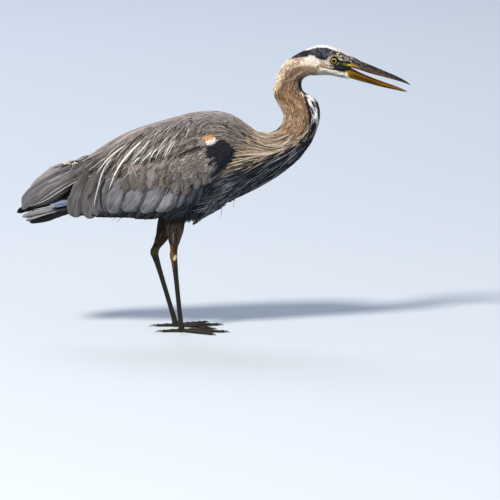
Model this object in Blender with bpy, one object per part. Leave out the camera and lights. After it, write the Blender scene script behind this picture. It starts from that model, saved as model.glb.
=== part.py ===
"""Great blue heron, life size, standing still on both legs with its neck drawn into a low S.

The head is turned a little to the right, the bill is slightly open, the right wing droops
and the left wing lies higher over the tail.

Frame: metres, +Z up, +X towards the bill, +Y towards the bird's left. The origin is on the
floor, below the middle of the bird's length. Tables are in millimetres.
"""

import math

import bmesh
import bpy
from mathutils import Matrix, Vector

MM = 0.001
GAP = 0.35 * MM  # clearance between touching pieces
CUT_GAP = 0.4 * MM  # width of the cuts that part the neck into lengths

# Neck twist: the neck turns the head to the bird's right between these two heights.
HEAD_TURN = math.radians(-8.0)
TURN_FROM_Z, TURN_TO_Z = 540.0, 600.0
TURN_AXIS_X = 172.0

# Body and neck: back x, back z, front x, front z, half width. From tail root to skull.
BODY = [
    (-299, 393, -308, 329, 27),
    (-239, 435, -244, 301, 43),
    (-193, 460, -198, 285, 52),
    (-147, 476, -147, 273, 59),
    (-101, 489, -96, 270, 64),
    (-55, 502, -41, 272, 67),
    (-9, 507, 9, 289, 67),
    (32, 502, 65, 314, 62),
    (67, 482, 115, 339, 53),
    (95, 460, 161, 369, 43),
    (120, 454, 198, 401, 35),
    (144, 462, 223, 436, 30),
    (158, 481, 239, 474, 27),
    (160, 502, 243, 504, 26),
    (146, 528, 234, 534, 25.5),
    (136, 552, 205, 551, 24.5),
    (140, 573, 200, 566, 23.5),
    (149, 598, 200, 575, 22.5),
    (164.5, 620.5, 203, 582, 22),
    (188, 637.5, 211, 588, 21),
    (209.5, 649.5, 221, 591.5, 20.5),
    (226, 656, 235, 591.5, 21.5),
    (244, 661.5, 249, 592.5, 22.5),
    (262, 660, 265, 593, 22.5),
    (279, 655, 279, 591, 21),
    (295, 648.5, 292, 587.5, 17),
    (308, 642, 304, 586, 13.5),
    (323, 634.5, 307, 585.5, 11),
]
# Where the thin cuts part it, as places in BODY, and how many rings each length has.
LENGTHS = [
    ("trunk", 0.0, 8.0, 17),
    ("neck_lower", 8.0, 11.5, 8),
    ("neck_middle", 11.5, 15.0, 9),
    ("neck_upper", 15.0, 20.0, 10),
    ("head", 20.0, 27.0, 13),
]
TRUNK_SQUARENESS, NECK_SQUARENESS = 2.4, 2.05

# Bill: culmen x, culmen z, edge x, edge z, half width, from the feathers to the tip.
BILL_UPPER = [
    (324.6, 633.5, 317.6, 613, 10.6),
    (341, 625.5, 336, 608, 9.2),
    (364, 616.5, 359, 600.5, 7.6),
    (394, 604.5, 389, 592.5, 5.8),
    (419, 594, 415, 585, 4.1),
    (437, 584, 434, 578.5, 2.6),
    (448, 575.5, 446.5, 573, 1.1),
]
BILL_UPPER_TIP = (452, 570)
BILL_LOWER = [
    (316.2, 607.5, 309.2, 587.5, 10.2),
    (336, 598.5, 330.5, 581, 8.6),
    (364, 587, 358.5, 573, 6.9),
    (394, 575.5, 389.5, 564, 4.9),
    (419, 566, 416.5, 558, 3.2),
    (435, 558.5, 433, 554, 1.8),
    (441, 555.5, 440, 553.5, 0.9),
]
BILL_LOWER_TIP = (444.5, 553)

EYE_CENTRE = (279.0, 12.2, 628.5)
EYE_RADIUS = 10.7

# Folded wing: x, top (y, z), low (y, z), bulge outwards, thickness. Front to rear.
WING_RIGHT = [
    (40, (64, 431), (65, 420), 2, 7),
    (33, (64, 440), (66.5, 406), 6, 13),
    (18, (64, 448), (68.5, 384), 11, 19),
    (-8, (63.5, 456), (68, 348), 18, 23),
    (-38, (60, 463), (67, 310), 22, 26),
    (-80, (53.5, 466), (66, 281), 25, 27),
    (-135, (47, 457), (64, 263), 25, 25),
    (-193, (44, 436), (60, 265), 21, 21),
    (-244, (38, 410), (54, 266), 16, 15),
    (-290, (34, 375), (48, 268), 9, 9),
    (-322, (38, 336), (44, 272), 5, 6),
    (-339, (40, 312), (43, 284), 2, 4),
]
# The left wing is the same as far as its elbow. Behind that it lies higher and further back.
WING_LEFT_REAR = [
    (-193, (40, 441), (59, 272), 22, 21),
    (-244, (33, 419), (55, 277), 17, 15),
    (-296, (27, 395), (50, 286), 12, 10),
    (-342, (24, 383), (47, 302), 8, 7),
    (-365, (26, 377), (46, 316), 5, 6),
    (-382, (29, 367), (44, 328), 3, 5),
    (-393, (34, 352), (42, 338), 1, 4),
]
WING_EDGES = (5.5, 2.2)  # thickness of a folded wing at its top and low edges
TIP_EDGES = (1.2, 1.2)
# Wing tips, the stacked primaries: x, top (y, z), low (y, z), bulge, thickness.
PRIMARIES = [
    (-238, (42, 297), (44, 271), 1, 7),
    (-273, (39, 299), (41, 270), 2, 8),
    (-313, (36, 297), (37, 267), 2, 8),
    (-349, (32, 291), (33, 262), 2, 7),
    (-388, (27, 281), (28, 252), 2, 6),
    (-416, (24, 273), (24, 254), 1, 4),
    (-430, (22, 265), (22, 258), 0.5, 2.5),
]
LEFT_TIP_RISE = 6

# Tail: x and z of its ridge, half width, fall from ridge to edge, thickness at the ridge.
TAIL = [
    (-299.4, 392.5, 26, 34, 60),
    (-325, 380, 31, 38, 36),
    (-356, 367, 36, 42, 20),
    (-388, 350, 40, 43, 12),
    (-418, 331, 41, 40, 8),
    (-435, 314, 38, 34, 5.5),
    (-442, 304, 33, 27, 4),
]
TAIL_EDGE = 2.6
TAIL_ROLL = math.tan(math.radians(18.0))  # the right side of the tail hangs lower
TAIL_SLANT = 9.0 / 64.0  # its rings lean like the trunk's last one

# Long feathers at the base of the foreneck, which end in a point under the belly:
# x, z, half height, half width.
BREAST_PLUMES = [
    (76, 332, 11, 27),
    (34, 309, 12.5, 31),
    (-2, 287, 13, 28),
    (-26, 267, 11.5, 19),
    (-40, 253, 7.5, 10),
    (-49, 244, 1.5, 2),
]

# Legs: x, z, fore-aft radius, side radius down the feathered thigh, then down the bare shank.
LEGS = {
    "right": {
        "side": -1,
        "y": 38,
        "thigh": [
            (-88, 300, 36, 17),
            (-91, 280, 31, 16.5),
            (-90, 261, 25.5, 15.5),
            (-88.5, 238, 19, 13),
            (-90.5, 219, 14, 10.5),
            (-91.5, 201, 9.8, 8.2),
        ],
        "shank": [
            (-91.8, 190, 8.2, 7.2),
            (-92.5, 177, 9.0, 8.2),
            (-91, 166, 7.4, 6.4),
            (-87, 128, 5.5, 4.6),
            (-80.5, 62, 5.2, 4.4),
            (-76.5, 24, 5.8, 5.2),
            (-75, 13, 6.6, 6.4),
        ],
        "foot": (-74, 0),
        "heading": -4.0,
    },
    "left": {
        "side": 1,
        "y": 38,
        "thigh": [
            (-90, 296, 37, 17),
            (-95, 274, 33, 16.5),
            (-103, 250, 26, 15.5),
            (-113, 226, 19, 13),
            (-121.5, 207, 13.2, 10.5),
            (-129.5, 192, 9.8, 8.2),
        ],
        "shank": [
            (-134, 183.5, 8.8, 7.4),
            (-137.5, 173.5, 10.0, 8.4),
            (-134.5, 162, 7.6, 6.6),
            (-124, 127, 5.6, 4.6),
            (-104.5, 61, 5.2, 4.4),
            (-93.5, 24, 5.8, 5.2),
            (-90.5, 13, 6.6, 6.4),
        ],
        "foot": (-88, 0),
        "heading": 7.0,
    },
}
# Toes: name, angle from straight ahead towards the outside, length, joints, claw length.
TOES = [
    ("hind", 172.0, 44, 1, 19),
    ("inner", -27.0, 76, 2, 13),
    ("middle", 1.0, 98, 3, 14),
    ("outer", 28.0, 82, 4, 12),
]
TOE_BASE_RADIUS, TOE_TIP_RADIUS = 4.7, 3.3
JOINT_SWELL = 0.13  # how much thicker a toe is at its joints
SOLE_DEPTH = 0.8  # height of a toe's middle over its flat sole, as a share of its radius
HUB_RADIUS = 7.6

# Colour (sRGB hex), roughness.
FINISHES = {
    "grey_plumage": ("7d736d", 0.85),
    "neck_plumage": ("a08468", 0.85),
    "head_plumage": ("e4dfd8", 0.85),
    "dark_plumage": ("22272e", 0.8),
    "tail_plumage": ("676569", 0.8),
    "thigh_plumage": ("3b2c25", 0.9),
    "bill_upper_horn": ("5f534b", 0.45),
    "bill_lower_horn": ("b9822a", 0.45),
    "leg_skin": ("5b4a36", 0.6),
    "claw_horn": ("241f1c", 0.5),
    "eye": ("c9a93a", 0.1),
}


def clear_scene():
    for obj in list(bpy.data.objects):
        bpy.data.objects.remove(obj, do_unlink=True)


def linear(channel):
    """One sRGB channel, 0 to 1, as linear light."""
    return channel / 12.92 if channel <= 0.04045 else ((channel + 0.055) / 1.055) ** 2.4


def finish(name):
    """The material of that name, made once."""
    made = bpy.data.materials.get(name)
    if made is None:
        colour, roughness = FINISHES[name]
        made = bpy.data.materials.new(name)
        made.use_nodes = True
        shader = made.node_tree.nodes["Principled BSDF"]
        rgb = [linear(int(colour[i : i + 2], 16) / 255) for i in (0, 2, 4)]
        shader.inputs["Base Color"].default_value = (*rgb, 1.0)
        shader.inputs["Roughness"].default_value = roughness
        shader.inputs["Metallic"].default_value = 0.0
    return made


def flat_row(row):
    """A table's row with its pairs opened out, so that it can be interpolated."""
    flat = []
    for value in row:
        flat.extend(value if isinstance(value, tuple) else (value,))
    return flat


def along(table, place):
    """The table's row at a place between its rows, on a smooth curve through them all."""
    rows = [flat_row(row) for row in table]
    i = min(int(place), len(rows) - 2)
    t = place - i
    before = rows[i - 1] if i > 0 else rows[i]
    after = rows[i + 2] if i + 2 < len(rows) else rows[i + 1]
    made = []
    for a, b, c, d in zip(before, rows[i], rows[i + 1], after):
        bend = 2 * a - 5 * b + 4 * c - d
        made.append(b + 0.5 * t * (c - a + t * (bend + t * (3 * (b - c) + d - a))))
    return made


def steps(first, last, count):
    return [first + (last - first) * i / (count - 1) for i in range(count)]


def solid(name, rings, material, tip=None, root=None):
    """One closed solid lofted through rings of points in millimetres, all of one length.

    Its ends are flat, or run out to the single point given as tip or root.
    """
    mesh = bmesh.new()
    made = [[mesh.verts.new(Vector(p) * MM) for p in ring] for ring in rings]
    size = len(rings[0])
    for near, far in zip(made, made[1:]):
        for i in range(size):
            j = (i + 1) % size
            mesh.faces.new((near[i], near[j], far[j], far[i]))
    for ring, point in ((made[0][::-1], root), (made[-1], tip)):
        if point is None:
            mesh.faces.new(ring)
            continue
        end = mesh.verts.new(Vector(point) * MM)
        for i in range(size):
            mesh.faces.new((ring[i], ring[(i + 1) % size], end))
    bmesh.ops.triangulate(mesh, faces=mesh.faces[:])
    bmesh.ops.recalc_face_normals(mesh, faces=mesh.faces[:])
    data = bpy.data.meshes.new(name)
    mesh.to_mesh(data)
    mesh.free()
    data.shade_smooth()
    data.materials.append(finish(material))
    obj = bpy.data.objects.new(name, data)
    bpy.context.scene.collection.objects.link(obj)
    return obj


def hidden_copy(obj, grow):
    """A copy that only cuts or joins other solids, grown by that many metres."""
    data = obj.data.copy()
    normals = [v.normal.copy() for v in data.vertices]
    for vertex, normal in zip(data.vertices, normals):
        vertex.co += normal * grow
    helper = bpy.data.objects.new(obj.name + "_helper", data)
    helper.matrix_world = obj.matrix_world
    bpy.context.scene.collection.objects.link(helper)
    helper.hide_render = True
    helper.display_type = "WIRE"
    return helper


def combine(obj, other, operation):
    modifier = obj.modifiers.new(operation.title(), "BOOLEAN")
    modifier.operation = operation
    modifier.solver = "EXACT"
    modifier.object = other


def make_room(obj, *neighbours):
    """Cuts the neighbours out of obj, with the usual clearance."""
    for neighbour in neighbours:
        combine(obj, hidden_copy(neighbour, GAP), "DIFFERENCE")


def turned(point):
    """Where the neck's twist carries a point of the head or upper neck."""
    x, y, z = point
    share = min(1.0, max(0.0, (z - TURN_FROM_Z) / (TURN_TO_Z - TURN_FROM_Z)))
    angle = HEAD_TURN * share * share * (3 - 2 * share)
    dx = x - TURN_AXIS_X
    return (
        TURN_AXIS_X + dx * math.cos(angle) - y * math.sin(angle),
        dx * math.sin(angle) + y * math.cos(angle),
        z,
    )


def oval_ring(row, squareness, count, shift):
    """A ring round the body: row is back x, z, front x, z and half width.

    shift moves the ring along the body, in millimetres.
    """
    back, front = Vector((row[0], 0, row[1])), Vector((row[2], 0, row[3]))
    middle, up = (back + front) / 2, (back - front) / 2
    onward = Vector((up.z, 0, -up.x)).normalized() * shift
    ring = []
    for i in range(count):
        angle = 2 * math.pi * i / count
        c, s = math.cos(angle), math.sin(angle)
        side = math.copysign(abs(c) ** (2 / squareness), c) * row[4]
        rise = math.copysign(abs(s) ** (2 / squareness), s)
        ring.append(middle + onward + up * rise + Vector((0, side, 0)))
    return ring


def body_length(name, first, last, count):
    """One length of the body, between two of its thin cuts."""
    material = {"trunk": "grey_plumage", "head": "head_plumage"}.get(name, "neck_plumage")
    sides = 24 if name == "trunk" else 18
    half_cut = CUT_GAP / MM / 2
    rings = []
    for n, place in enumerate(steps(first, last, count)):
        into_neck = min(1.0, max(0.0, (place - 7.0) / 3.0))
        squareness = TRUNK_SQUARENESS + (NECK_SQUARENESS - TRUNK_SQUARENESS) * into_neck
        shift = half_cut if n == 0 else -half_cut if n == count - 1 else 0.0
        ring = oval_ring(along(BODY, place), squareness, sides, shift)
        rings.append([turned(p) for p in ring])
    return solid(name, rings, material)


def mandible(name, table, tip, upper, material):
    """Half of the bill: a roof with a nearly flat floor, or the same upside down."""
    sides, rings = 14, []
    for place in steps(0, len(table) - 1, 10):
        top_x, top_z, low_x, low_z, half_width = along(table, place)
        ridge, edge = (Vector((top_x, 0, top_z)), Vector((low_x, 0, low_z)))
        if not upper:
            ridge, edge = edge, ridge
        ring = []
        for i in range(sides):
            angle = 2 * math.pi * i / sides
            c, s = math.cos(angle), math.sin(angle)
            height = s**0.85 if s > 0 else 0.07 * s
            point = edge + (ridge - edge) * height
            ring.append(turned(point + Vector((0, half_width * c, 0))))
        rings.append(ring)
    return solid(name, rings, material, tip=turned((tip[0], 0, tip[1])))


def eye(name, side):
    mesh = bmesh.new()
    bmesh.ops.create_uvsphere(mesh, u_segments=12, v_segments=8, radius=EYE_RADIUS * MM)
    x, y, z = EYE_CENTRE
    # The sphere's poles point out of the head.
    turn = Matrix.Rotation(HEAD_TURN, 4, "Z") @ Matrix.Rotation(math.pi / 2, 4, "X")
    place = Matrix.Translation(Vector(turned((x, side * y, z))) * MM)
    data = bpy.data.meshes.new(name)
    mesh.to_mesh(data)
    mesh.free()
    data.shade_smooth()
    data.materials.append(finish("eye"))
    obj = bpy.data.objects.new(name, data)
    obj.matrix_world = place @ turn
    bpy.context.scene.collection.objects.link(obj)
    return obj


def blade_ring(row, side, top_edge, low_edge):
    """A thin crescent across a folded wing, from its top edge to its low edge and back."""
    x, top_y, top_z, low_y, low_z, bulge, thickness = row
    outer, inner = [], []
    for v in steps(0, 1, 8):
        swell = math.sin(math.pi * v)
        y = top_y + (low_y - top_y) * v + bulge * swell**0.85
        z = top_z + (low_z - top_z) * v
        edge = min(thickness, top_edge + (low_edge - top_edge) * v)
        outer.append((x, side * y, z))
        inner.append((x, side * (y - edge - (thickness - edge) * swell), z))
    return outer + inner[::-1]


def blade(name, table, side, count, material, edges, rise=0):
    rings = []
    for place in steps(0, len(table) - 1, count):
        row = along(table, place)
        row[2] += rise
        row[4] += rise
        rings.append(blade_ring(row, side, *edges))
    return solid(name, rings, material)


def tail():
    """The closed tail fan, a shallow roof that is rolled to the bird's right."""
    rings = []
    for place in steps(0, len(TAIL) - 1, 10):
        x, ridge_z, half_width, fall, thickness = along(TAIL, place)
        top, under = [], []
        for v in steps(-1, 1, 9):
            y = v * half_width
            z = ridge_z - fall * abs(v) ** 1.6 + y * TAIL_ROLL * min(1.0, place)
            depth = TAIL_EDGE + (thickness - TAIL_EDGE) * (1 - v * v)
            top.append((x + (z - ridge_z) * TAIL_SLANT, y, z))
            under.append((x + (z - depth - ridge_z) * TAIL_SLANT, y, z - depth))
        rings.append(top + under[::-1])
    return solid("tail", rings, "tail_plumage")


def breast_plumes():
    rings = []
    for place in steps(0, len(BREAST_PLUMES) - 1, 8):
        x, z, half_height, half_width = along(BREAST_PLUMES, place)
        ring = []
        for i in range(12):
            angle = 2 * math.pi * i / 12
            rise = half_height * math.sin(angle)
            ring.append((x + 0.6 * rise, half_width * math.cos(angle), z + rise))
        rings.append(ring)
    return solid("breast_plumes", rings, "dark_plumage")


def limb_ring(row, towards, y, count, shift=0.0):
    """A ring square to the limb's line: row is x, z, fore-aft radius, side radius."""
    x, z, fore, side = row
    line = Vector((towards[0], 0, towards[1])).normalized()
    front = Vector((-line.z, 0, line.x))
    middle = Vector((x, y, z)) + line * shift
    ring = []
    for i in range(count):
        angle = 2 * math.pi * i / count
        ring.append(
            middle + front * (fore * math.cos(angle)) + Vector((0, side * math.sin(angle), 0))
        )
    return ring


def limb(name, table, first, last, count, y, sides, material):
    """A length of leg between two places of a table, parted by thin cuts at both ends."""
    half_cut = CUT_GAP / MM / 2
    places = steps(first, last, count)
    rings = []
    for n, place in enumerate(places):
        row = along(table, place)
        ahead = along(table, min(place + 0.05, len(table) - 1))
        behind = along(table, max(place - 0.05, 0))
        shift = half_cut if n == 0 else -half_cut if n == count - 1 else 0.0
        towards = (ahead[0] - behind[0], ahead[1] - behind[1])
        rings.append(limb_ring(row, towards, y, sides, shift))
    return solid(name, rings, material)


def sole_ring(centre, heading, radius, height, count=8):
    """A ring across a toe, cut off flat at the floor."""
    across = Vector((-heading.y, heading.x, 0))
    ring = []
    for i in range(count):
        angle = 2 * math.pi * (i + 0.5) / count
        z = max(0.0, height + radius * math.sin(angle))
        ring.append(centre + across * (radius * math.cos(angle)) + Vector((0, 0, z)))
    return ring


def toe(name, start, heading, length, joints):
    rings = []
    for t in steps(0, 1, 3 * joints + 4):
        radius = TOE_BASE_RADIUS + (TOE_TIP_RADIUS - TOE_BASE_RADIUS) * t
        radius *= 1 + JOINT_SWELL * math.cos(2 * math.pi * (joints + 1) * t)
        centre = start + heading * (length * t)
        rings.append(sole_ring(centre, heading, radius, radius * SOLE_DEPTH))
    return solid(name, rings, "leg_skin")


def claw(name, start, heading, length):
    """A curved claw that runs on from the toe and comes down to the floor at its tip."""
    base_radius, rise = 2.5, 1.3
    rings = []
    for t in steps(0, 0.92, 6):
        radius = base_radius * (1 - t) ** 0.75
        height = base_radius * 1.05 + rise * math.sin(math.pi * min(1, 1.25 * t))
        height = height * (1 - t * t) + radius * 1.05 * t * t
        centre = start + heading * (length * t)
        across = Vector((-heading.y, heading.x, 0))
        ring = []
        for i in range(6):
            angle = 2 * math.pi * i / 6
            z = height + radius * math.sin(angle)
            ring.append(centre + across * (0.8 * radius * math.cos(angle)) + Vector((0, 0, z)))
        rings.append(ring)
    tip = start + heading * length + Vector((0, 0, 0.4))
    return solid(name, rings, "claw_horn", tip=tip)


def foot(side_name, leg):
    """The foot with its four toes joined, and the claws that go on from them."""
    side = leg["side"]
    above, (x, z) = leg["shank"][-2][:2], leg["shank"][-1][:2]
    y = side * leg["y"]
    centre = Vector((leg["foot"][0], y, leg["foot"][1]))
    hub_rings = []
    for t in steps(0, 1, 5):
        radius = HUB_RADIUS * (1 - 0.12 * t - 0.16 * (1 - t) ** 3)
        row = (centre.x + (x - centre.x) * t, z * t, radius, 0.95 * radius)
        towards = ((above[0] - x) * t, above[1] - z)
        shift = -CUT_GAP / MM / 2 if t == 1 else 0.0
        hub_rings.append(limb_ring(row, towards, y, 10, shift))
    hub = solid("foot_" + side_name, hub_rings, "leg_skin")
    for name, angle, length, joints, claw_length in TOES:
        angle = math.radians(leg["heading"] + angle * side)
        heading = Vector((math.cos(angle), math.sin(angle), 0))
        piece = toe(f"{name}_toe_{side_name}", centre, heading, length, joints)
        combine(hub, hidden_copy(piece, 0.0), "UNION")
        bpy.data.objects.remove(piece, do_unlink=True)
        start = centre + heading * (length + GAP / MM)
        claw(f"claw_{name}_{side_name}", start, heading, claw_length)
    return hub


def leg(side_name):
    leg = LEGS[side_name]
    y = leg["side"] * leg["y"]
    line = leg["thigh"] + leg["shank"]
    knee = len(leg["thigh"]) - 1
    thigh = limb(f"thigh_{side_name}", line, 0, knee, 7, y, 14, "thigh_plumage")
    limb(f"shank_{side_name}", line, knee, len(line) - 1, 13, y, 10, "leg_skin")
    foot(side_name, leg)
    return thigh


def heron():
    clear_scene()
    lengths = {row[0]: body_length(*row) for row in LENGTHS}
    eyes = [eye("eye_right", -1), eye("eye_left", 1)]
    make_room(lengths["head"], *eyes)
    mandible("bill_upper", BILL_UPPER, BILL_UPPER_TIP, True, "bill_upper_horn")
    mandible("bill_lower", BILL_LOWER, BILL_LOWER_TIP, False, "bill_lower_horn")
    left_table = WING_RIGHT[:7] + WING_LEFT_REAR
    wing_right = blade("wing_right", WING_RIGHT, -1, 17, "grey_plumage", WING_EDGES)
    wing_left = blade("wing_left", left_table, 1, 19, "grey_plumage", WING_EDGES)
    blade("primaries_right", PRIMARIES, -1, 8, "dark_plumage", TIP_EDGES)
    blade("primaries_left", PRIMARIES, 1, 8, "dark_plumage", TIP_EDGES, LEFT_TIP_RISE)
    fan = tail()
    plumes = breast_plumes()
    thighs = [leg("right"), leg("left")]
    make_room(lengths["trunk"], wing_right, wing_left, plumes, *thighs)
    make_room(fan, wing_left, wing_right)


heron()
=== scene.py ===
"""Great blue heron, life size: skin, feathers, bill, eyes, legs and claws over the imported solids.

Tables and places are in millimetres, +X towards the bill, +Y the bird's left, floor at z = 0.
"""

import math
from functools import partial

import bpy
import numpy as np
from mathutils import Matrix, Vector, noise
from mathutils.bvhtree import BVHTree


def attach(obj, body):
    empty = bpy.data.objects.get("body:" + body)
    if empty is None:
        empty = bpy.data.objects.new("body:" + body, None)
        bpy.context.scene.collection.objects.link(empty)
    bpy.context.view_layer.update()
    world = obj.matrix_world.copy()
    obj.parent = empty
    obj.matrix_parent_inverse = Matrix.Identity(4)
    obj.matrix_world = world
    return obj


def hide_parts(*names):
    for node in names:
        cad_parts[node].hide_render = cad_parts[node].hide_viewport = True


MM = 0.001
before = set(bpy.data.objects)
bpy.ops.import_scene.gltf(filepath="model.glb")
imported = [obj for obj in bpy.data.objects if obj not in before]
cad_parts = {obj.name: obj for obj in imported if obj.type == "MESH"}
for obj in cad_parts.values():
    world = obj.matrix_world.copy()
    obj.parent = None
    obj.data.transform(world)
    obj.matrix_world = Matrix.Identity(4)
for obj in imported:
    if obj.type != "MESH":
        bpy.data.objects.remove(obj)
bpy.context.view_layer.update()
bpy.ops.object.select_all(action="DESELECT")
chance = np.random.default_rng(41)
SIDES = {-1: "right", 1: "left"}

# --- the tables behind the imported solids
HEAD_TURN = math.radians(-8.0)
TURN_FROM_Z, TURN_TO_Z, TURN_AXIS_X = 540.0, 600.0, 172.0
# Body and neck, tail root to skull: back x, z, front x, z, half width.
BODY = np.array([
    (-299, 393, -308, 329, 27), (-239, 435, -244, 301, 43), (-193, 460, -198, 285, 52),
    (-147, 476, -147, 273, 59), (-101, 489, -96, 270, 64), (-55, 502, -41, 272, 67), (-9, 507, 9, 289, 67),
    (32, 502, 65, 314, 62), (67, 482, 115, 339, 53), (95, 460, 161, 369, 43), (120, 454, 198, 401, 35),
    (144, 462, 223, 436, 30), (158, 481, 239, 474, 27), (160, 502, 243, 504, 26),
    (146, 528, 234, 534, 25.5), (136, 552, 205, 551, 24.5), (140, 573, 200, 566, 23.5),
    (149, 598, 200, 575, 22.5), (164.5, 620.5, 203, 582, 22), (188, 637.5, 211, 588, 21),
    (209.5, 649.5, 221, 591.5, 20.5), (226, 656, 235, 591.5, 21.5), (244, 661.5, 249, 592.5, 22.5),
    (262, 660, 265, 593, 22.5), (279, 655, 279, 591, 21), (295, 648.5, 292, 587.5, 17),
    (308, 642, 304, 586, 13.5), (323, 634.5, 307, 585.5, 11),
], float)
# Bill: culmen x, z, cutting edge x, z, half width.
BILL_UPPER = [
    (324.6, 633.5, 317.6, 613, 10.6), (341, 625.5, 336, 608, 9.2), (364, 616.5, 359, 600.5, 7.6),
    (394, 604.5, 389, 592.5, 5.8), (419, 594, 415, 585, 4.1), (437, 584, 434, 578.5, 2.6),
    (448, 575.5, 446.5, 573, 1.1),
]
BILL_UPPER_TIP = (452, 570)
BILL_LOWER = [
    (316.2, 607.5, 309.2, 587.5, 10.2), (336, 598.5, 330.5, 581, 8.6), (364, 587, 358.5, 573, 6.9),
    (394, 575.5, 389.5, 564, 4.9), (419, 566, 416.5, 558, 3.2), (435, 558.5, 433, 554, 1.8),
    (441, 555.5, 440, 553.5, 0.9),
]
BILL_LOWER_TIP = (444.5, 553)
EYE_CENTRE, EYE_RADIUS = (279.0, 12.2, 628.5), 10.7
# Folded wing: x, top y, z, low y, z, outward bulge.
WING_RIGHT = [
    (40, 64, 431, 65, 420, 2), (33, 64, 440, 66.5, 406, 6), (18, 64, 448, 68.5, 384, 11),
    (-8, 63.5, 456, 68, 348, 18), (-38, 60, 463, 67, 310, 22), (-80, 53.5, 466, 66, 281, 25),
    (-135, 47, 457, 64, 263, 25), (-193, 44, 436, 60, 265, 21), (-244, 38, 410, 54, 266, 16),
    (-290, 34, 375, 48, 268, 9), (-322, 38, 336, 44, 272, 5), (-339, 40, 312, 43, 284, 2),
]
WING_LEFT = WING_RIGHT[:7] + [
    (-193, 40, 441, 59, 272, 22),
    (-244, 33, 419, 55, 277, 17),
    (-296, 27, 395, 50, 286, 12),
    (-342, 24, 383, 47, 302, 8),
    (-365, 26, 377, 46, 316, 5),
    (-382, 29, 367, 44, 328, 3),
    (-393, 34, 352, 42, 338, 1),
]
# Tail: ridge x, z, half width, fall from ridge to edge.
TAIL = [
    (-299.4, 392.5, 26, 34), (-325, 380, 31, 38), (-356, 367, 36, 42), (-388, 350, 40, 43),
    (-418, 331, 41, 40), (-435, 314, 38, 34), (-442, 304, 33, 27),
]
TAIL_ROLL, TAIL_SLANT = math.tan(math.radians(18.0)), 9.0 / 64.0
LEG_LINES = {
    "right": [(-88, 300), (-91, 280), (-90, 261), (-88.5, 238), (-90.5, 219), (-91.5, 201), (-92, 177)],
    "left": [(-90, 296), (-95, 274), (-103, 250), (-113, 226), (-121.5, 207), (-129.5, 192), (-137.5, 173)],
}


# --- small helpers
def linear(colour):
    """An sRGB hex colour as linear light."""
    srgb = np.array([int(colour[i : i + 2], 16) / 255 for i in (0, 2, 4)])
    return np.where(srgb <= 0.04045, srgb / 12.92, ((srgb + 0.055) / 1.055) ** 2.4)


def places(text):
    """Places in a side view, written as x,z pairs."""
    return np.array([[float(value) for value in pair.split(",")] for pair in text.split()])


def rows(*texts):
    """Rows of a table, each written as a tone, numbers, and x,z places along a line."""
    made = []
    for text in texts:
        tone, *words = text.split()
        numbers = [float(word) for word in words if "," not in word]
        made.append((tone, *numbers, places(" ".join(word for word in words if "," in word))))
    return made


def along(table, at):
    """Rows of a table at places between its rows, on a smooth curve through them all."""
    table = np.asarray(table, float)
    at = np.clip(np.asarray(at, float), 0, len(table) - 1)
    i = np.minimum(at.astype(int), len(table) - 2)
    t = (at - i)[..., None]
    a, b = table[np.maximum(i - 1, 0)], table[i]
    c, d = table[i + 1], table[np.minimum(i + 2, len(table) - 1)]
    return b + 0.5 * t * (c - a + t * (2 * a - 5 * b + 4 * c - d + t * (3 * (b - c) + d - a)))


def smooth(value, low, high):
    t = np.clip((value - low) / (high - low), 0, 1)
    return t * t * (3 - 2 * t)


def unit(vectors):
    return vectors / np.maximum(np.linalg.norm(vectors, axis=-1, keepdims=True), 1e-9)


def turned(points, way=1.0):
    """Where the neck's twist carries points of the head and upper neck; way -1 undoes it."""
    points = np.array(points, float)
    share = smooth(points[..., 2], TURN_FROM_Z, TURN_TO_Z)
    angle = way * HEAD_TURN * share
    dx, y = points[..., 0] - TURN_AXIS_X, points[..., 1].copy()
    points[..., 0] = TURN_AXIS_X + dx * np.cos(angle) - y * np.sin(angle)
    points[..., 1] = dx * np.sin(angle) + y * np.cos(angle)
    return points


def ripple(points, size, seed=0.0):
    """A soft uneven pattern, about -1 to 1, whose patches are about size across."""
    spots = (points / size + (seed * 7.3, seed * 3.1, seed * 5.7)).tolist()
    return np.array([1.7 * noise.noise(spot) for spot in spots])


def mesh_piece(name, points, faces, material, colours, maps=()):
    """A mesh object from arrays; points in millimetres, faces as rows of three corner numbers."""
    faces = np.asarray(faces, np.int32)
    mesh = bpy.data.meshes.new(name)
    mesh.vertices.add(len(points))
    mesh.vertices.foreach_set("co", (np.asarray(points) * MM).astype(np.float32).ravel())
    mesh.loops.add(faces.size)
    mesh.loops.foreach_set("vertex_index", faces.ravel())
    mesh.polygons.add(len(faces))
    mesh.polygons.foreach_set("loop_start", np.arange(0, faces.size, 3, dtype=np.int32))
    mesh.update(calc_edges=True)
    paint(mesh, colours)
    for title, spots in maps:
        layer = mesh.uv_layers.new(name=title)
        layer.data.foreach_set("uv", spots[faces.ravel()].astype(np.float32).ravel())
    mesh.shade_smooth()
    mesh.materials.append(material)
    piece = bpy.data.objects.new(name, mesh)
    bpy.context.scene.collection.objects.link(piece)
    return piece


def paint(mesh, colours):
    """Stores linear colours, one for each vertex, in the attribute that the materials read."""
    layer = mesh.color_attributes.new("Plumage", "FLOAT_COLOR", "POINT")
    rgba = np.ones((len(mesh.vertices), 4), np.float32)
    rgba[:, :3] = np.clip(colours, 0, 1)
    layer.data.foreach_set("color", rgba.ravel())


def read(collection, name):
    """One vector for each item of a mesh's collection, as rows."""
    values = np.empty(len(collection) * 3, np.float32)
    collection.foreach_get(name, values)
    return values.reshape(-1, 3).astype(float)


def points_of(piece):
    return read(piece.data.vertices, "co") / MM


def normals_of(piece):
    return read(piece.data.vertex_normals, "vector")


def move_points(piece, points):
    piece.data.vertices.foreach_set("co", (points * MM).astype(np.float32).ravel())
    piece.data.update()


def only(piece):
    bpy.ops.object.select_all(action="DESELECT")
    piece.select_set(True)
    bpy.context.view_layer.objects.active = piece


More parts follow.
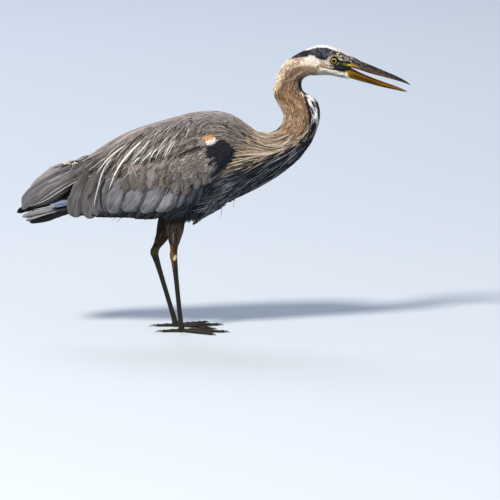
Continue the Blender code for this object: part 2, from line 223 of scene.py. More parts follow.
def edit(piece, operator, selected=True, **settings):
    """Runs one mesh operator in edit mode, on all of a piece or on its selected faces."""
    only(piece)
    bpy.ops.object.mode_set(mode="EDIT")
    if selected:
        bpy.ops.mesh.select_all(action="SELECT")
    operator(**settings)
    bpy.ops.object.mode_set(mode="OBJECT")


def apply(piece, kind, **settings):
    """Adds a modifier, sets it and applies it."""
    only(piece)
    modifier = piece.modifiers.new(kind.title(), kind)
    for name, value in settings.items():
        setattr(modifier, name, value)
    bpy.ops.object.modifier_apply(modifier=modifier.name)


def merged_copy(name, nodes, grow):
    """One mesh of copies of CAD nodes, each merged and grown a little so that cuts close."""
    copies = []
    for node in nodes:
        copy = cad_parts[node].copy()
        copy.data = copy.data.copy()
        copy.parent = None
        for key in list(copy.keys()):
            del copy[key]
        bpy.context.scene.collection.objects.link(copy)
        edit(copy, bpy.ops.mesh.remove_doubles, threshold=0.01 * MM)
        move_points(copy, points_of(copy) + normals_of(copy) * grow)
        copies.append(copy)
    only(copies[0])
    for copy in copies:
        copy.select_set(True)
    if len(copies) > 1:
        bpy.ops.object.join()
    made = bpy.context.view_layer.objects.active
    made.name = name
    made.data.materials.clear()
    return made


# --- materials
def add(tree, kind, *links, **settings):
    """Adds a node, links its inputs, and sets its other inputs (in_…) and its properties.

    Each link is an input and the socket, or the node whose first output, it comes from.
    """
    node = tree.nodes.new(kind)
    for name, value in settings.items():
        if name.startswith("in_"):
            key = name[3:]
            node.inputs[int(key) if key.isdigit() else key.replace("_", " ")].default_value = value
        else:
            setattr(node, name, value)
    for socket, source in links:
        tree.links.new(getattr(source, "outputs", [source])[0], node.inputs[socket])
    return node


def new_material(name, specular, **sockets):
    """A Principled material whose uniform values are set on the shader's own sockets."""
    material = bpy.data.materials.new(name)
    material.use_nodes = True
    shader = material.node_tree.nodes["Principled BSDF"]
    shader.inputs["Specular IOR Level"].default_value = specular
    for key, value in sockets.items():
        shader.inputs[key.replace("_", " ")].default_value = value
    return material, shader, partial(add, material.node_tree)


def patches(node, place, scale, low, high, share=0.3, **settings):
    """Noise of that scale, and a tone from low to high that follows it."""
    noise_node = node("ShaderNodeTexNoise", ("Vector", place), in_Scale=scale, **settings)
    tone = node("ShaderNodeMapRange", ("Value", noise_node), in_From_Min=share, in_From_Max=1 - share,
                in_To_Min=low, in_To_Max=high)
    return noise_node, tone


def finish(material, shader, node, tone, height, strength, distance):
    """Base colour from the painted one times a tone, and a bump of that height in metres."""
    colour = node("ShaderNodeAttribute", attribute_name="Plumage")
    painted = node("ShaderNodeVectorMath", (0, colour), ("Scale", tone), operation="SCALE")
    bump = node("ShaderNodeBump", ("Height", height), in_Strength=strength, in_Distance=distance)
    material.node_tree.links.new(painted.outputs[0], shader.inputs["Base Color"])
    material.node_tree.links.new(bump.outputs[0], shader.inputs["Normal"])
    return painted


def feather_keratin(name, barb_length, strength, roughness, sheen, shaft=0.0):
    """Contour feathers: soft interlocking barbs, so a matt surface with a faint sheen.

    The vane map runs 0 to 1 across the vane and from root to tip; barbs slant off the shaft.
    """
    material, shader, node = new_material(
        name, 0.18, Roughness=roughness, Sheen_Weight=sheen, Sheen_Roughness=0.5, IOR=1.54)
    vane = node("ShaderNodeUVMap", uv_map="Vane")
    split = node("ShaderNodeSeparateXYZ", (0, vane))
    centred = node("ShaderNodeMath", (0, split), operation="SUBTRACT", in_1=0.5)
    across = node("ShaderNodeMath", (0, centred), operation="ABSOLUTE")
    slant = node("ShaderNodeMath", (0, across), (2, split.outputs[1]), operation="MULTIPLY_ADD", in_1=-0.35)
    turns = node("ShaderNodeMath", (0, slant), operation="MULTIPLY", in_1=2 * math.pi * barb_length)
    place = node("ShaderNodeTexCoord").outputs["Object"]
    uneven, mottle = patches(node, place, 260.0, 0.9, 1.1, 0.25, in_Detail=3.0, in_Roughness=0.6)
    wobble = node("ShaderNodeMath", (0, uneven), (2, turns), operation="MULTIPLY_ADD", in_1=5.0)
    barbs = node("ShaderNodeMath", (0, wobble), operation="SINE")
    tone = node("ShaderNodeMapRange", ("Value", barbs), in_From_Min=-1.0, in_From_Max=1.0,
                in_To_Min=1.0 - strength, in_To_Max=1.0 + strength)
    both = node("ShaderNodeMath", (0, tone), (1, mottle), operation="MULTIPLY")
    painted = finish(material, shader, node, both, barbs, 0.35, 0.00018)
    if shaft:
        line = node("ShaderNodeMapRange", ("Value", across), in_From_Min=0.012, in_From_Max=0.03,
                    in_To_Min=1.0, in_To_Max=0.0)
        fade = node("ShaderNodeMapRange", ("Value", split.outputs[1]), in_From_Min=0.55, in_From_Max=1.0,
                    in_To_Min=shaft, in_To_Max=0.1)
        weight = node("ShaderNodeMath", (0, line), (1, fade), operation="MULTIPLY")
        mix = node("ShaderNodeMix", ("Factor", weight), (6, painted), data_type="RGBA",
                   in_7=(*linear("c9c3bb"), 1.0))
        material.node_tree.links.new(mix.outputs[2], shader.inputs["Base Color"])
    return material


# Body down and contour feathers: loose, hair-like barbs. Barbs are drawn about 0.9 mm apart.
contour = feather_keratin("contour_feather", 9.0, 0.10, 0.85, 0.05)
# Head and neck: short silky feathers.
silky = feather_keratin("silky_head_feather", 5.0, 0.08, 0.8, 0.06)
# Wing coverts and flight feathers: zipped vanes with a firm shaft, a little smoother.
vane_keratin = feather_keratin("wing_vane_feather", 46.0, 0.09, 0.7, 0.04, shaft=0.22)
# Plumes: long unzipped strands.
plume_keratin = feather_keratin("plume_feather", 24.0, 0.08, 0.75, 0.05)


def skin_material():
    """Bird skin under the coat: matt, with small raised follicles about 1.5 mm apart."""
    material, shader, node = new_material("bird_skin", 0.2, Roughness=0.7, IOR=1.4)
    place = node("ShaderNodeTexCoord").outputs["Object"]
    pores = node("ShaderNodeTexVoronoi", ("Vector", place), in_Scale=650.0)
    folds, tone = patches(node, place, 420.0, 0.86, 1.1, in_Detail=4.0)
    height = node("ShaderNodeMath", (0, pores), (1, folds), operation="ADD")
    finish(material, shader, node, tone, height, 0.5, 0.0004)
    return material


def horn_material(name, roughness, coat, grain, depth):
    """Keratin horn of the bill and claws: waxy, with growth streaks along its length."""
    material, shader, node = new_material(
        name, 0.06, Roughness=roughness, IOR=1.54, Coat_Weight=coat, Coat_Roughness=0.25)
    place = node("ShaderNodeTexCoord").outputs["Object"]
    stretch = node("ShaderNodeMapping", ("Vector", place), in_Rotation=(0.0, math.radians(-22.0), 0.0),
                   in_Scale=(0.12, 1.0, 1.0))
    streaks, tone = patches(node, stretch, grain, 1.0 - depth, 1.0 + depth, in_Detail=4.0, in_Roughness=0.6)
    specks = node("ShaderNodeTexNoise", ("Vector", place), in_Scale=900.0, in_Detail=2.0)
    height = node("ShaderNodeMath", (0, streaks), (1, specks), operation="ADD")
    finish(material, shader, node, tone, height, 0.25, 0.0003)
    return material


def leg_material():
    """Scaled leg skin: small plates about 2.5 mm across, dry, with dark creases."""
    material, shader, node = new_material("scaled_leg_skin", 0.15, Roughness=0.58, IOR=1.5)
    place = node("ShaderNodeTexCoord").outputs["Object"]
    plates = node("ShaderNodeTexVoronoi", ("Vector", place), feature="DISTANCE_TO_EDGE", in_Scale=430.0)
    crease = node("ShaderNodeMapRange", ("Value", plates), in_From_Min=0.0, in_From_Max=0.12,
                  in_To_Min=0.62, in_To_Max=1.0)
    _, tone = patches(node, place, 160.0, 0.8, 1.2, in_Detail=4.0)
    both = node("ShaderNodeMath", (0, crease), (1, tone), operation="MULTIPLY")
    finish(material, shader, node, both, crease, 0.6, 0.0005)
    return material


bird_skin = skin_material()
bill_horn = horn_material("bill_horn", 0.55, 0.0, 700.0, 0.3)
claw_horn = horn_material("claw_horn_dark", 0.35, 0.2, 900.0, 0.15)
scaled_leg = leg_material()


# --- markings
def over(colours, mask, tone):
    """Lays a tone over linear colours, in place, as far as the mask says."""
    colours += np.clip(mask, 0, 1)[:, None] * (linear(tone) - colours)


def gap_to(x, z, line):
    """Distance from a line of places."""
    nearest = np.full(x.shape, 1e9)
    for (ax, az), (bx, bz) in zip(line, line[1:]):
        ex, ez = bx - ax, bz - az
        t = np.clip(((x - ax) * ex + (z - az) * ez) / (ex * ex + ez * ez + 1e-9), 0, 1)
        nearest = np.minimum(nearest, (x - ax - t * ex) ** 2 + (z - az - t * ez) ** 2)
    return np.sqrt(nearest)


def in_shape(x, z, outline, soft):
    """1 inside a closed outline, 0 outside, with a soft edge that wide."""
    closed = np.concatenate([outline, outline[:1]])
    inside = np.zeros(x.shape, bool)
    for (ax, az), (bx, bz) in zip(closed, closed[1:]):
        inside ^= ((az > z) != (bz > z)) & (x < ax + (z - az) * (bx - ax) / ((bz - az) or 1e-9))
    distance = gap_to(x, z, closed)
    return smooth(np.where(inside, distance, -distance), -soft / 2, soft / 2)


def near_line(x, z, line, width, soft):
    """1 on a line of that width, 0 away from it."""
    return 1 - smooth(gap_to(x, z, line), width / 2 - soft / 2, width / 2 + soft / 2)


def strokes(colour, x, z, marks, share=1.0):
    """Draws short soft lines over the colours; each has a tone, share, width, soft edge and places."""
    share = np.broadcast_to(share, x.shape)
    for tone, weight, width, soft, line in marks:
        margin = width / 2 + soft
        (x0, z0), (x1, z1) = line.min(0) - margin, line.max(0) + margin
        near = np.nonzero((x > x0) & (x < x1) & (z > z0) & (z < z1))[0]
        if len(near):
            mask = near_line(x[near], z[near], line, width, soft) * weight * share[near]
            colour[near] += mask[:, None] * (linear(tone) - colour[near])


ROWS = np.linspace(0, len(BODY) - 1, 181)
EDGES = along(BODY, ROWS)
MIDDLES = (EDGES[:, :2] + EDGES[:, 2:4]) / 2
GONE = np.concatenate([[0], np.cumsum(np.linalg.norm(np.diff(MIDDLES, axis=0), axis=1))])
RUN = -np.gradient(EDGES[:, :4], axis=0)


def body_place(points):
    """How far along the body each point is, in rows of BODY, and 0 at the back to 1 in front."""
    flat = points[..., (0, 2)]
    best = np.empty(flat.shape[:-1], int)
    for part in range(0, len(flat), 20000):
        gap = flat[part : part + 20000, None, :] - MIDDLES[None]
        best[part : part + 20000] = (gap**2).sum(-1).argmin(1)
    row = EDGES[best]
    across = row[:, 2:4] - row[:, :2]
    front = ((flat - row[:, :2]) * across).sum(-1) / (across**2).sum(-1)
    return ROWS[best], np.clip(front, 0, 1)


def streaks(points, place, front, long, wide, seed):
    """A soft uneven pattern drawn out along the body: about -1 to 1, long and wide in size."""
    width = np.interp(place, ROWS, np.linalg.norm(EDGES[:, :2] - EDGES[:, 2:4], axis=1))
    run = np.interp(place, ROWS, GONE)
    flat = np.stack([run / long, front * width / wide, points[..., 1] / (2 * wide)], -1)
    return ripple(flat, 1.0, seed)


UPPER_PALE = places(
    "152,596 160,612 182,632 205,640 235,640 252,626 258,616 240,611 222,614 205,614 190,612 176,606 "
    "165,598"
)
HEAD_BLACK = places(
    "180,630 184,638 198,650 208,653 218,651.5 232,655.5 245,658 258,657 270,655 280,651 290,646 297,642 "
    "303,638 297,638 288,642 276,641 268,637 265,633 258,631 246,632 240,636 236,640 228,642 222,640 "
    "219,636.5 205,636.5 195,634"
)
CROWN_WHITE = places(
    "212,649.5 231,654 243,656 253,655 264,653 274,650.5 290,645.5 300,641.5 312,643 300,655 280,668 "
    "250,675 232,668 210,655"
)
FOREHEAD = places("284,644 289,636 303,632 318,626 332,631 326,643 305,652 293,655")
BROW_TOP = places("276,657 286,652 296,647.5 304,643.5 314,639 322,635.5")
CHEEK_WHITE = places("214,636 224,641 233,643 241,636 248,629 250,619 240,617 230,622 218,628")
THROAT = places("240,598 243,607 250,612 262,610 280,607 296,602 308,600 312,580 240,580")
LORE = places("289,632 294,629 304,628 326,622 326,606 300,608 276,611 274,617 286,619 289,624")
GAPE = places("264,610.5 272,608 285,606 300,602.5 312,601 324,601 324,612 312,611 296,610.5 280,611")
NAPE = places("130,554 142,559 153,573 160,589 170,604 182,617 192,627 182,640 160,632 140,605 128,580")
TAN_NECK = places(
    "58,492 75,475 72,460 60,440 46,425 40,412 30,392 16,374 10,360 30,372 60,383 90,393 120,403 150,421 "
    "175,430 192,438 205,452 216,475 221,500 214,535 203,555 206,575 212,590 232,600 255,611 262,625 "
    "240,650 150,650 120,580 120,500 80,505"
)
CHEST_DARK = places(
    "205,449 192,436 175,428 150,419 120,402 90,392 60,382 30,371 10,359 -20,345 -70,250 30,240 130,310 "
    "230,400 262,470 232,470 222,470 214,456"
)
SHOULDER_BLACK = places(
    "-19,437 -6,440 4,449 16,451 28,444 41,433 49,425 46,411 38,400 27,389 16,379 3,369 -8,367 -4,376 "
    "4,384 8,392 -5,392 -15,398 -7,408 -13,417"
)
FORENECK_WHITE = places(
    "198,557 207,557 220,549 236,536 246,515 249,490 243,472 236,478 228,488 222,497 219,512 213,532 "
    "205,545 198,552"
)
# Marks: tone, share, width, soft edge, places.
NECK_MARKS = rows(
    "c9b199 0.7 12 10 160,604 176,616 196,622",
    "5a4738 0.85 5 4 178,608 187,611 197,610 206,605",
    "5a4738 0.85 6 5 177,597 186,601 198,602",
    "665140 0.8 6 5 169,588 178,592 185,594",
    "8b7664 0.7 6 5 206,611 222,615 236,612",
    "c2ab97 0.75 4 4 171,582 184,588 195,596 205,603",
    "493b30 0.85 5 4 178,577 188,583 198,591",
    "6d5640 0.7 8 6 164,575 172,580",
    "57483b 0.6 9 8 184,580 188,568 191,556",
    "c3b2a6 0.7 1.6 1.5 180,573 185,567 186,559",
    "b7a699 0.6 1.6 1.5 188,563 191,556 196,549",
    "b3a294 0.6 1.5 1.5 186,579 190,573",
    "6c665f 0.8 8 6 212,597 204,592",
    "14181c 1 9 6 202,587 200,578 199,568 201,558 205,551",
    "b6966c 0.8 6 5 140,570 150,567",
    "6b4f2f 0.8 7 6 143,555 151,549 156,541",
    "70552f 0.8 7 6 158,540 167,533 172,526",
    "5d4a35 0.75 6 6 174,556 184,551",
    "6b5033 0.8 5 5 164,521 175,515 187,507",
    "5f4930 0.6 8 8 176,534 183,521",
    "66502f 0.5 12 10 172,508 188,514 200,518",
    "c6a474 0.8 4 4 166,536 172,530 176,525",
    "c0a077 0.75 3 3 178,510 188,519 197,527",
    "caa283 0.6 6 6 184,534 187,546",
    "bd9a6c 0.6 5 5 160,556 170,548 176,541",
    "74604c 0.8 7 6 203,540 208,522 211,505 210,490",
    "5a4636 0.7 3 3 196,470 201,484 206,498",
    "5e4a38 0.7 3 3 186,452 194,468 199,482",
    "c4a88e 0.6 2.5 2.5 190,458 198,472 204,488",
    "54422f 0.7 3.5 3 176,496 188,502 196,510",
    "4a3f38 0.8 5 4 200,455 208,468 213,484 214,496",
    "f7f4f0 1 4 2 200,553 203,547 204,542",
    "fbf9f6 1 9 4 212,545 222,538 228,531",
    "fbf9f6 1 8 4 216,538 220,528 224,520",
    "b5a298 0.8 6 4 220,527 223,517 226,506",
    "fbf9f6 1 7 3 231,520 235,511 234,502 230,494",
    "d9dbe0 0.9 5 3 227,503 229,495",
    "0e0e12 1 10 3 229,542 235,533 239,523 243,514",
    "0e0e12 1 10 3 245,508 247,498 246,488",
    "b99a78 0.8 3 2 244,497 244,493",
    "1a1413 1 4.5 2 226,532 231,524 233,516",
    "2b1e17 1 3.5 2 222,523 228,513 230,506",
    "2a2019 0.9 3 2 221,513 224,504 223,497",
    "0f0e11 1 6.5 2.5 203,551 208,541 213,530 217,517 220,505 221,495 219,484",
    "15181d 1 13 5 232,489 230,478 225,464 215,448 204,436 190,424",
    "9b8875 0.8 3.5 3 217,488 216,476 210,464",
    "8f8e89 0.8 2.5 2 242,486 240,478 237,468 230,452",
)
SHOULDER_MARKS = rows(
    "9a8b82 0.8 12 6 -34,447 -27,443",
    "f7eae0 1 11 5 -12,445 -3,446 0,449",
    "dca270 1 9 5 -21,452 -13,455 -6,455",
    # Near-black line: painted shadow of the scapulars' edge on the wing.
    "24211f 1 6 4 -30,430 -41,427 -54,421 -66,417 -80,408",
    "a19b96 0.7 12 10 -28,420 -50,414 -72,406",
    "9b918b 0.8 4 3 -14,412 -4,409",
    "9b918b 0.8 4 3 -16,398 -2,394",
)
HEAD_MARKS = rows(
    "f2e6d8 0.8 9 8 206,624 224,621 240,618",
    "c3a074 0.9 9 6 248,613 252,619 258,620",
    "d9c4a8 0.8 3 3 247,627 256,624 264,619",
    "7e6447 0.7 2.2 2 252,627 259,622 266,617",
    "ecdfce 0.8 2.5 2 254,629 262,624 268,619",
    "b89a78 0.8 2.5 2.5 257,617 264,614 271,612",
    "826a5b 0.85 7 5 242,606 243,614",
    "756454 0.7 3 3 231,606 237,609",
    "f1eadf 0.9 4 2.5 212,602 217,600.5 222,603",
    "4f443b 0.8 2 2 209,603 213,598.5 222,597.5",
    # The grey-green rows on the lower throat (8a897c, 9b9c90, 8b8e85, a9ab9f, 77766a) are painted shade on
    # its white feathers.
    "8a897c 0.85 10 6 244,597 257,599",
    "9b9c90 0.7 5 5 258,596 275,595 292,591",
    "8b8e85 0.8 5 4 248,602 258,602",
    "fbf7f0 1 7 3 249,608.5 255,608",
    "f8f1e5 1 4.5 2.5 258,609 268,606 280,604 290,601",
    "e2e2d4 0.9 5 3 264,601.5 274,600",
    "a9ab9f 0.7 3 3 262,597 276,595.5",
    "ece6d6 0.9 7 4 280,598.5 292,596.5",
    "b1b0a2 0.7 2 2 283,602 288,598 290,594",
    "f6eee2 1 6 3 296,599 302,596",
    "77766a 0.75 4 4 215,594.5 240,593.5 262,594 285,590",
    "39261d 0.95 2 1.6 250,618 256,614 264,611.2 272,609",
)
# Within the black stripe and on the forehead.
STRIPE_MARKS = rows(
    "16171b 0.9 9 6 204,641 214,645 222,646",
    # The three bluish-grey rows that follow are painted sheen on the black stripe.
    "4a4b57 0.8 6 5 233,647 241,646 246,641",
    "5a5c68 0.7 2.5 2.5 248,654 255,647 257,640",
    "585a66 0.7 2.5 2.5 258,653 265,646 266,640",
    "15161c 0.9 7 5 247,636 255,634 263,634",
    "74686c 0.7 5 4 268,642 275,644 280,641",
    "b0a9aa 0.8 2.2 1.8 273,647 275,649",
    "2b2a31 0.8 4 3 277,647 286,643",
    "f0ebe4 0.9 3.6 1.8 276,657 286,652 296,647.5",
    "cfc2b9 0.6 3 2 284,637 289,636",
    "e3d3ca 0.7 3 2 291,638 296,634",
    "24232a 0.95 3.5 2 292,642 299,641",
    "2c2a2e 0.95 3.5 2 299,637 304,635",
    "dfd3c5 0.95 4 2 276,657 286,652 296,647.5 304,643.5 314,639 322,635.5",
    "453f40 0.85 2.5 2 303,639 310,637",
    "a79c96 0.6 2.5 2 312,636 318,633",
    "5a5252 0.7 2.5 2 311,634 320,630",
    "ddcfbf 0.9 3.2 2 287,632.5 298,631",
    "b3a09a 0.85 4 2.5 299,632 306,630",
    "8e8280 0.8 3 2 306,629 313,628",
)
LORE_MARKS = rows(
    "2f3d36 0.8 4 4 290,626 294,621",
    "66602a 0.85 5 4 301,621.5 308,618.5",
    "bfb23a 0.95 3.6 2.5 311,619 318,617.5",
    "14120e 1 3 2 290,629 298,626.5 308,626 320,624",
    "2b3320 0.8 3 3 284,614.5 298,612.5",
    "0e0c0b 1 3 2 288,617 298,615 320,612.5",
    "0f0d0c 0.9 3.5 2 271,617 277,616.5 285,618.5",
)


def plumage(points):
    """The coat's colour at points of the bird, linear; the same markings for skin and feathers."""
    straight = turned(points, -1)
    x, y, z = straight[..., 0], straight[..., 1], straight[..., 2]
    place, front = body_place(straight)
    colour = np.tile(linear("837972"), (len(x), 1))
    lay = partial(over, colour)
    coarse, fine = ripple(straight, 22.0), ripple(straight, 6.0, 3.0)
    streak = streaks(straight, place, front, 26.0, 3.4, 1.0)
    # The edges of markings wander a little.
    wx, wz = x + 1.1 * fine, z + 1.1 * ripple(straight, 5.0, 8.0)
    # Back and mantle: brownish grey, paler and bluer towards the rump.
    lay(0.5 + 0.5 * coarse, "7a706b")
    # Paler high on the back: painted highlight where the light falls from above.
    lay(smooth(z, 455, 500) * 0.6, "9a918e")
    lay(smooth(-x, 180, 300) * 0.6, "706d6f")
    lay(smooth(streak, 0.1, 0.8) * 0.45, "554d49")
    lay(smooth(-streak, 0.2, 0.8) * 0.35, "a19792")
    # Darker down the flank, paler along the back line itself: painted shade and painted highlight.
    lay(smooth(front, 0.08, 0.22) * (place < 9) * 0.4, "5d5450")
    lay((1 - smooth(front, 0.02, 0.09)) * (place < 10) * 0.7, "a19c9e")
    lay(smooth(front, 0.55, 0.9) * (place < 7.5), "2b3037")
    # Vent and under the tail: pale grey.
    lay(smooth(-x, 215, 265) * smooth(front, 0.45, 0.7) * (place < 4), "98958f")
    # Wings: smooth grey lesser coverts, cooler and darker lower down.
    wing = wing_mask(straight)
    lay(wing, "7a726e")
    lay(wing * smooth(coarse, 0.0, 0.8) * 0.35, "6a625e")
    lay(wing * smooth(fine, 0.1, 0.8) * 0.3, "857d79")
    lay(wing * smooth(-z, -372, -345) * 0.85, "615e5e")
    low = np.interp(x, [-340, -215, -190, 40], [272, 274, 286, 300])
    lay(wing * (1 - smooth(z, low, low + 16)), "15181d")
    lay(wing * (1 - smooth(z, 318, 345)) * smooth(x, -62, -30), "232a31")
    # Neck and chest.
    tan = in_shape(wx, wz, TAN_NECK, 7)
    lay(tan, "967150")
    lay(tan * (0.5 + 0.5 * coarse) * 0.5, "a5835f")
    lay(tan * (1 - smooth(z, 430, 490)) * 0.8, "a4917c")
    # Paler along the back edge of the lower neck: painted highlight.
    lay(tan * smooth(z, 455, 500) * (1 - front) ** 2 * 1.1 * (1 - smooth(z, 520, 560)), "cfb498")
    lay(tan * smooth(z, 555, 585) * 0.6, "a98a6b")
    lay(tan * smooth(fine, 0.0, 0.9) * 0.4, "6f5335")
    lay(tan * smooth(streak, 0.0, 0.7) * 0.45, "5f482f")
    lay(tan * smooth(-streak, 0.15, 0.8) * 0.35, "cbae8c")
    lay(in_shape(wx, wz, CHEST_DARK, 6), "1d2127")
    pale_band = places("185,436 154,427 129,409 104,400 78,391 53,382 28,371 8,360")
    lay(near_line(wx, wz, pale_band, 5, 5) * (0.7 + 0.4 * fine), "c7b297")
    for line in ("45,408 60,410 100,415 140,431", "12,366 36,388 79,400"):
        lay(near_line(wx, wz, places(line), 3, 3) * 0.75, "463529")
    lay(near_line(x, z, [(64, 464), (71, 460), (70, 455)], 7, 4) * 0.85, "332924")
    # Nape and upper neck.
    lay(in_shape(wx, wz, UPPER_PALE, 14) * 0.85, "ccb9a6")
    lay(in_shape(wx, wz, UPPER_PALE, 10) * smooth(fine, 0.0, 0.5) * 0.5, "a28c78")
    lay(tan * smooth(z, 570, 590) * (1 - smooth(z, 606, 618)) * 0.5, "8c7664")
    # The nape's pale band, brightened into a painted highlight along the neck's back edge.
    lay(in_shape(x, z, NAPE, 9), "fce3c8")
    lay(in_shape(wx, wz, FORENECK_WHITE, 4), "e9e5e0")
    strokes(colour, wx, wz, NECK_MARKS, smooth(z, 430, 440))
    # Shoulder: black patch, and rufous, white and tan feathers at the bend of the wing.
    side = smooth(np.abs(y), 25, 40)
    lay(in_shape(x, z, SHOULDER_BLACK, 6) * side, "12161c")
    strokes(colour, x, z, SHOULDER_MARKS, side)
    # Thighs: dark rufous brown, rusty lower down.
    thigh = (1 - smooth(z, 252, 268)) * (x > -170) * (x < -40)
    lay(thigh, "231912")
    lay(thigh * (1 - smooth(z, 205, 240)) * 0.7, "4a3120")
    lay(thigh * (0.5 + 0.5 * fine) * 0.5, "38271b")
    # Head.
    head = smooth(z + 0.35 * x, 690, 700)
    lay(head * smooth(x, 200, 216) * smooth(z, 603, 612), "c9baab")
    lay(head * smooth(x, 200, 216) * smooth(z, 603, 612) * smooth(-fine, 0.1, 0.8) * 0.4, "b09a86")
    lay(in_shape(wx, wz, CHEEK_WHITE, 9), "f1e9df")
    lay(in_shape(wx, wz, CHEEK_WHITE, 9) * smooth(streak, 0.1, 0.7) * 0.5, "b9ab9f")
    # Greyer under the head and over the throat: painted shade on the white throat's underside.
    lay(head * (1 - smooth(z, 600, 608)) * smooth(x, 205, 215) * 0.85, "8b8072")
    lay(in_shape(x, z, THROAT, 5) * (x > 218), "afac9c")
    strokes(colour, wx, wz, HEAD_MARKS, head)
    lay(in_shape(x, z, CROWN_WHITE, 3.5) * smooth(z, 630, 640), "fbfdfe")
    black = in_shape(wx, wz, HEAD_BLACK, 3) * smooth(z, 622, 630)
    lay(black, "1e1f26")
    # Bluish-grey streaks over the black: painted sheen.
    lay(black * smooth(fine, 0.05, 0.5) * 0.7, "62646f")
    speck = ripple(straight, 3.6, 6.0)
    brow = in_shape(x, z, FOREHEAD, 4)
    lay(brow, "4a4345")
    lay(brow * smooth(speck, 0.25, 0.45), "b8ada6")
    lay(brow * smooth(-speck, 0.0, 0.25), "222125")
    strokes(colour, x, z, STRIPE_MARKS, head)
    crescent = places("267,636 265.8,629 267,621 270.5,617")
    lay(near_line(x, z, crescent, 1.8, 1.8) * (0.5 + 0.6 * fine), "b9c2c8")
    lay(in_shape(x, z, LORE, 2.5), "0f120c")
    lay(in_shape(x, z, GAPE, 2), "1d0d0c")
    strokes(colour, x, z, LORE_MARKS, head)
    # A bluish-grey line on the bare lores: painted highlight.
    lay(near_line(x, z, [(273, 614.5), (278, 614)], 2.4, 2) * 0.8, "9aa5a9")
    return np.clip(colour, 0, 1)


WINGS = {-1: along(WING_RIGHT, np.linspace(0, 11, 90)), 1: along(WING_LEFT, np.linspace(0, 13, 100))}


def wing_rows(side, x):
    """The wing's top y, z, low y, z and bulge at x, for the right (-1) or left (1) wing."""
    table = WINGS[side][::-1]
    return [np.interp(x, table[:, 0], table[:, k]) for k in range(1, 6)]


def wing_mask(points):
    """1 on a folded wing, 0 elsewhere."""
    x, y, z = points[..., 0], points[..., 1], points[..., 2]
    mask = np.zeros(x.shape)
    for side in SIDES:
        top_y, top_z, _, low_z, _ = wing_rows(side, x)
        reach = WINGS[side][-1, 0]
        inside = smooth(z, low_z - 5, low_z - 1) * (1 - smooth(z, top_z - 1, top_z + 5))
        inside *= smooth(x, reach - 4, reach) * (1 - smooth(x, 38, 44))
        mask = np.maximum(mask, inside * (y * side > 0.5 * top_y))
    return mask


def wing_surface(side, x, z):
    """Points and outward normals on the outside of a folded wing, at x and z."""

    def depth(x, z):
        top_y, top_z, low_y, low_z, bulge = wing_rows(side, x)
        v = (z - top_z) / (low_z - top_z)
        swell = np.sin(np.pi * np.clip(v, 0.0, 1.0)) ** 0.85
        return side * (top_y + (low_y - top_y) * v + bulge * swell)

    y = depth(x, z)
    step = 3.0
    slope_x = (depth(x + step, z) - depth(x - step, z)) / (2 * step)
    slope_z = (depth(x, z + step) - depth(x, z - step)) / (2 * step)
    normal = unit(np.stack([-slope_x * side, np.full_like(y, side) * side, -slope_z * side], -1))
    normal *= side * np.sign(normal[..., 1:2])
    return np.stack([x, y, z], -1), normal


# --- the form under the coat
class Form:
    """A closed surface that feathers are laid on, with its nearest points and normals."""

    def __init__(self, name, nodes, voxel, rounds):
        piece = merged_copy(name, nodes, 0.6)
        apply(piece, "REMESH", mode="VOXEL", voxel_size=voxel * MM, use_smooth_shade=True)
        apply(piece, "SMOOTH", factor=0.5, iterations=rounds)
        self.piece = piece
        self.points, self.normals = points_of(piece), normals_of(piece)
        mesh = piece.data
        mesh.calc_loop_triangles()
        corners = np.empty(len(mesh.loop_triangles) * 3, np.int32)
        mesh.loop_triangles.foreach_get("vertices", corners)
        self.faces = corners.reshape(-1, 3)
        self.tree = BVHTree.FromPolygons(self.points.tolist(), self.faces.tolist())
        a, b, c = (self.points[self.faces[:, k]] for k in range(3))
        self.area = np.linalg.norm(np.cross(b - a, c - a), axis=1) / 2
        self.middle = (a + b + c) / 3
        self.face_normals = unit(sum(self.normals[self.faces[:, k]] for k in range(3)))

    def nearest(self, points):
        spots, faces = np.empty_like(points), np.empty(len(points), int)
        for i, point in enumerate(points.tolist()):
            spot, _, face, _ = self.tree.find_nearest(point)
            spots[i], faces[i] = spot, face
        return spots, self.face_normals[faces]

    def sides(self, x, z, side):
        """Points and normals where lines along Y first meet the form, from that side."""
        spots, normals = [], []
        towards = Vector((0, -side, 0))
        for px, pz in zip(x, z):
            spot, _, face, _ = self.tree.ray_cast((px, side * 160, pz), towards)
            if spot is None:
                spot, _, face, _ = self.tree.find_nearest((px, side * 12, pz))
            spots.append(spot)
            normals.append(self.face_normals[face])
        return np.array(spots), np.array(normals)

    def scatter(self, count, weight, spacing):
        """Random roots over the form, thicker where weight is high, no two nearer than spacing."""
        chosen = weight * self.area
        pick = chance.choice(len(chosen), size=count, p=chosen / chosen.sum())
        u, v = chance.random((2, count))
        flip = u + v > 1
        u, v = np.where(flip, 1 - u, u), np.where(flip, 1 - v, v)
        a, b, c = (self.points[self.faces[pick, k]] for k in range(3))
        spots = a + (b - a) * u[:, None] + (c - a) * v[:, None]
        return spots[spaced(spots, spacing)]


AROUND = [(a, b, c) for a in (-1, 0, 1) for b in (-1, 0, 1) for c in (-1, 0, 1)]


def spaced(spots, spacing):
    """Numbers of the spots that are left when each keeps its distance from those before it."""
    cells, kept = {}, []
    keys = np.floor(spots / spacing).astype(int).tolist()
    for i, (spot, (a, b, c)) in enumerate(zip(spots.tolist(), keys)):
        near = (other for da, db, dc in AROUND for other in cells.get((a + da, b + db, c + dc), ()))
        if all(math.dist(spot, other) >= spacing for other in near):
            cells.setdefault((a, b, c), []).append(spot)
            kept.append(i)
    return np.array(kept)


FLESH = ["trunk", "neck_lower", "neck_middle", "neck_upper", "head", "wing_right", "wing_left",
         "thigh_right", "thigh_left"]
form = Form("form", FLESH + ["breast_plumes"], 2.7, 12)


# --- how the coat lies
SCAPULAR = unit(np.array([-0.6, -0.8]))


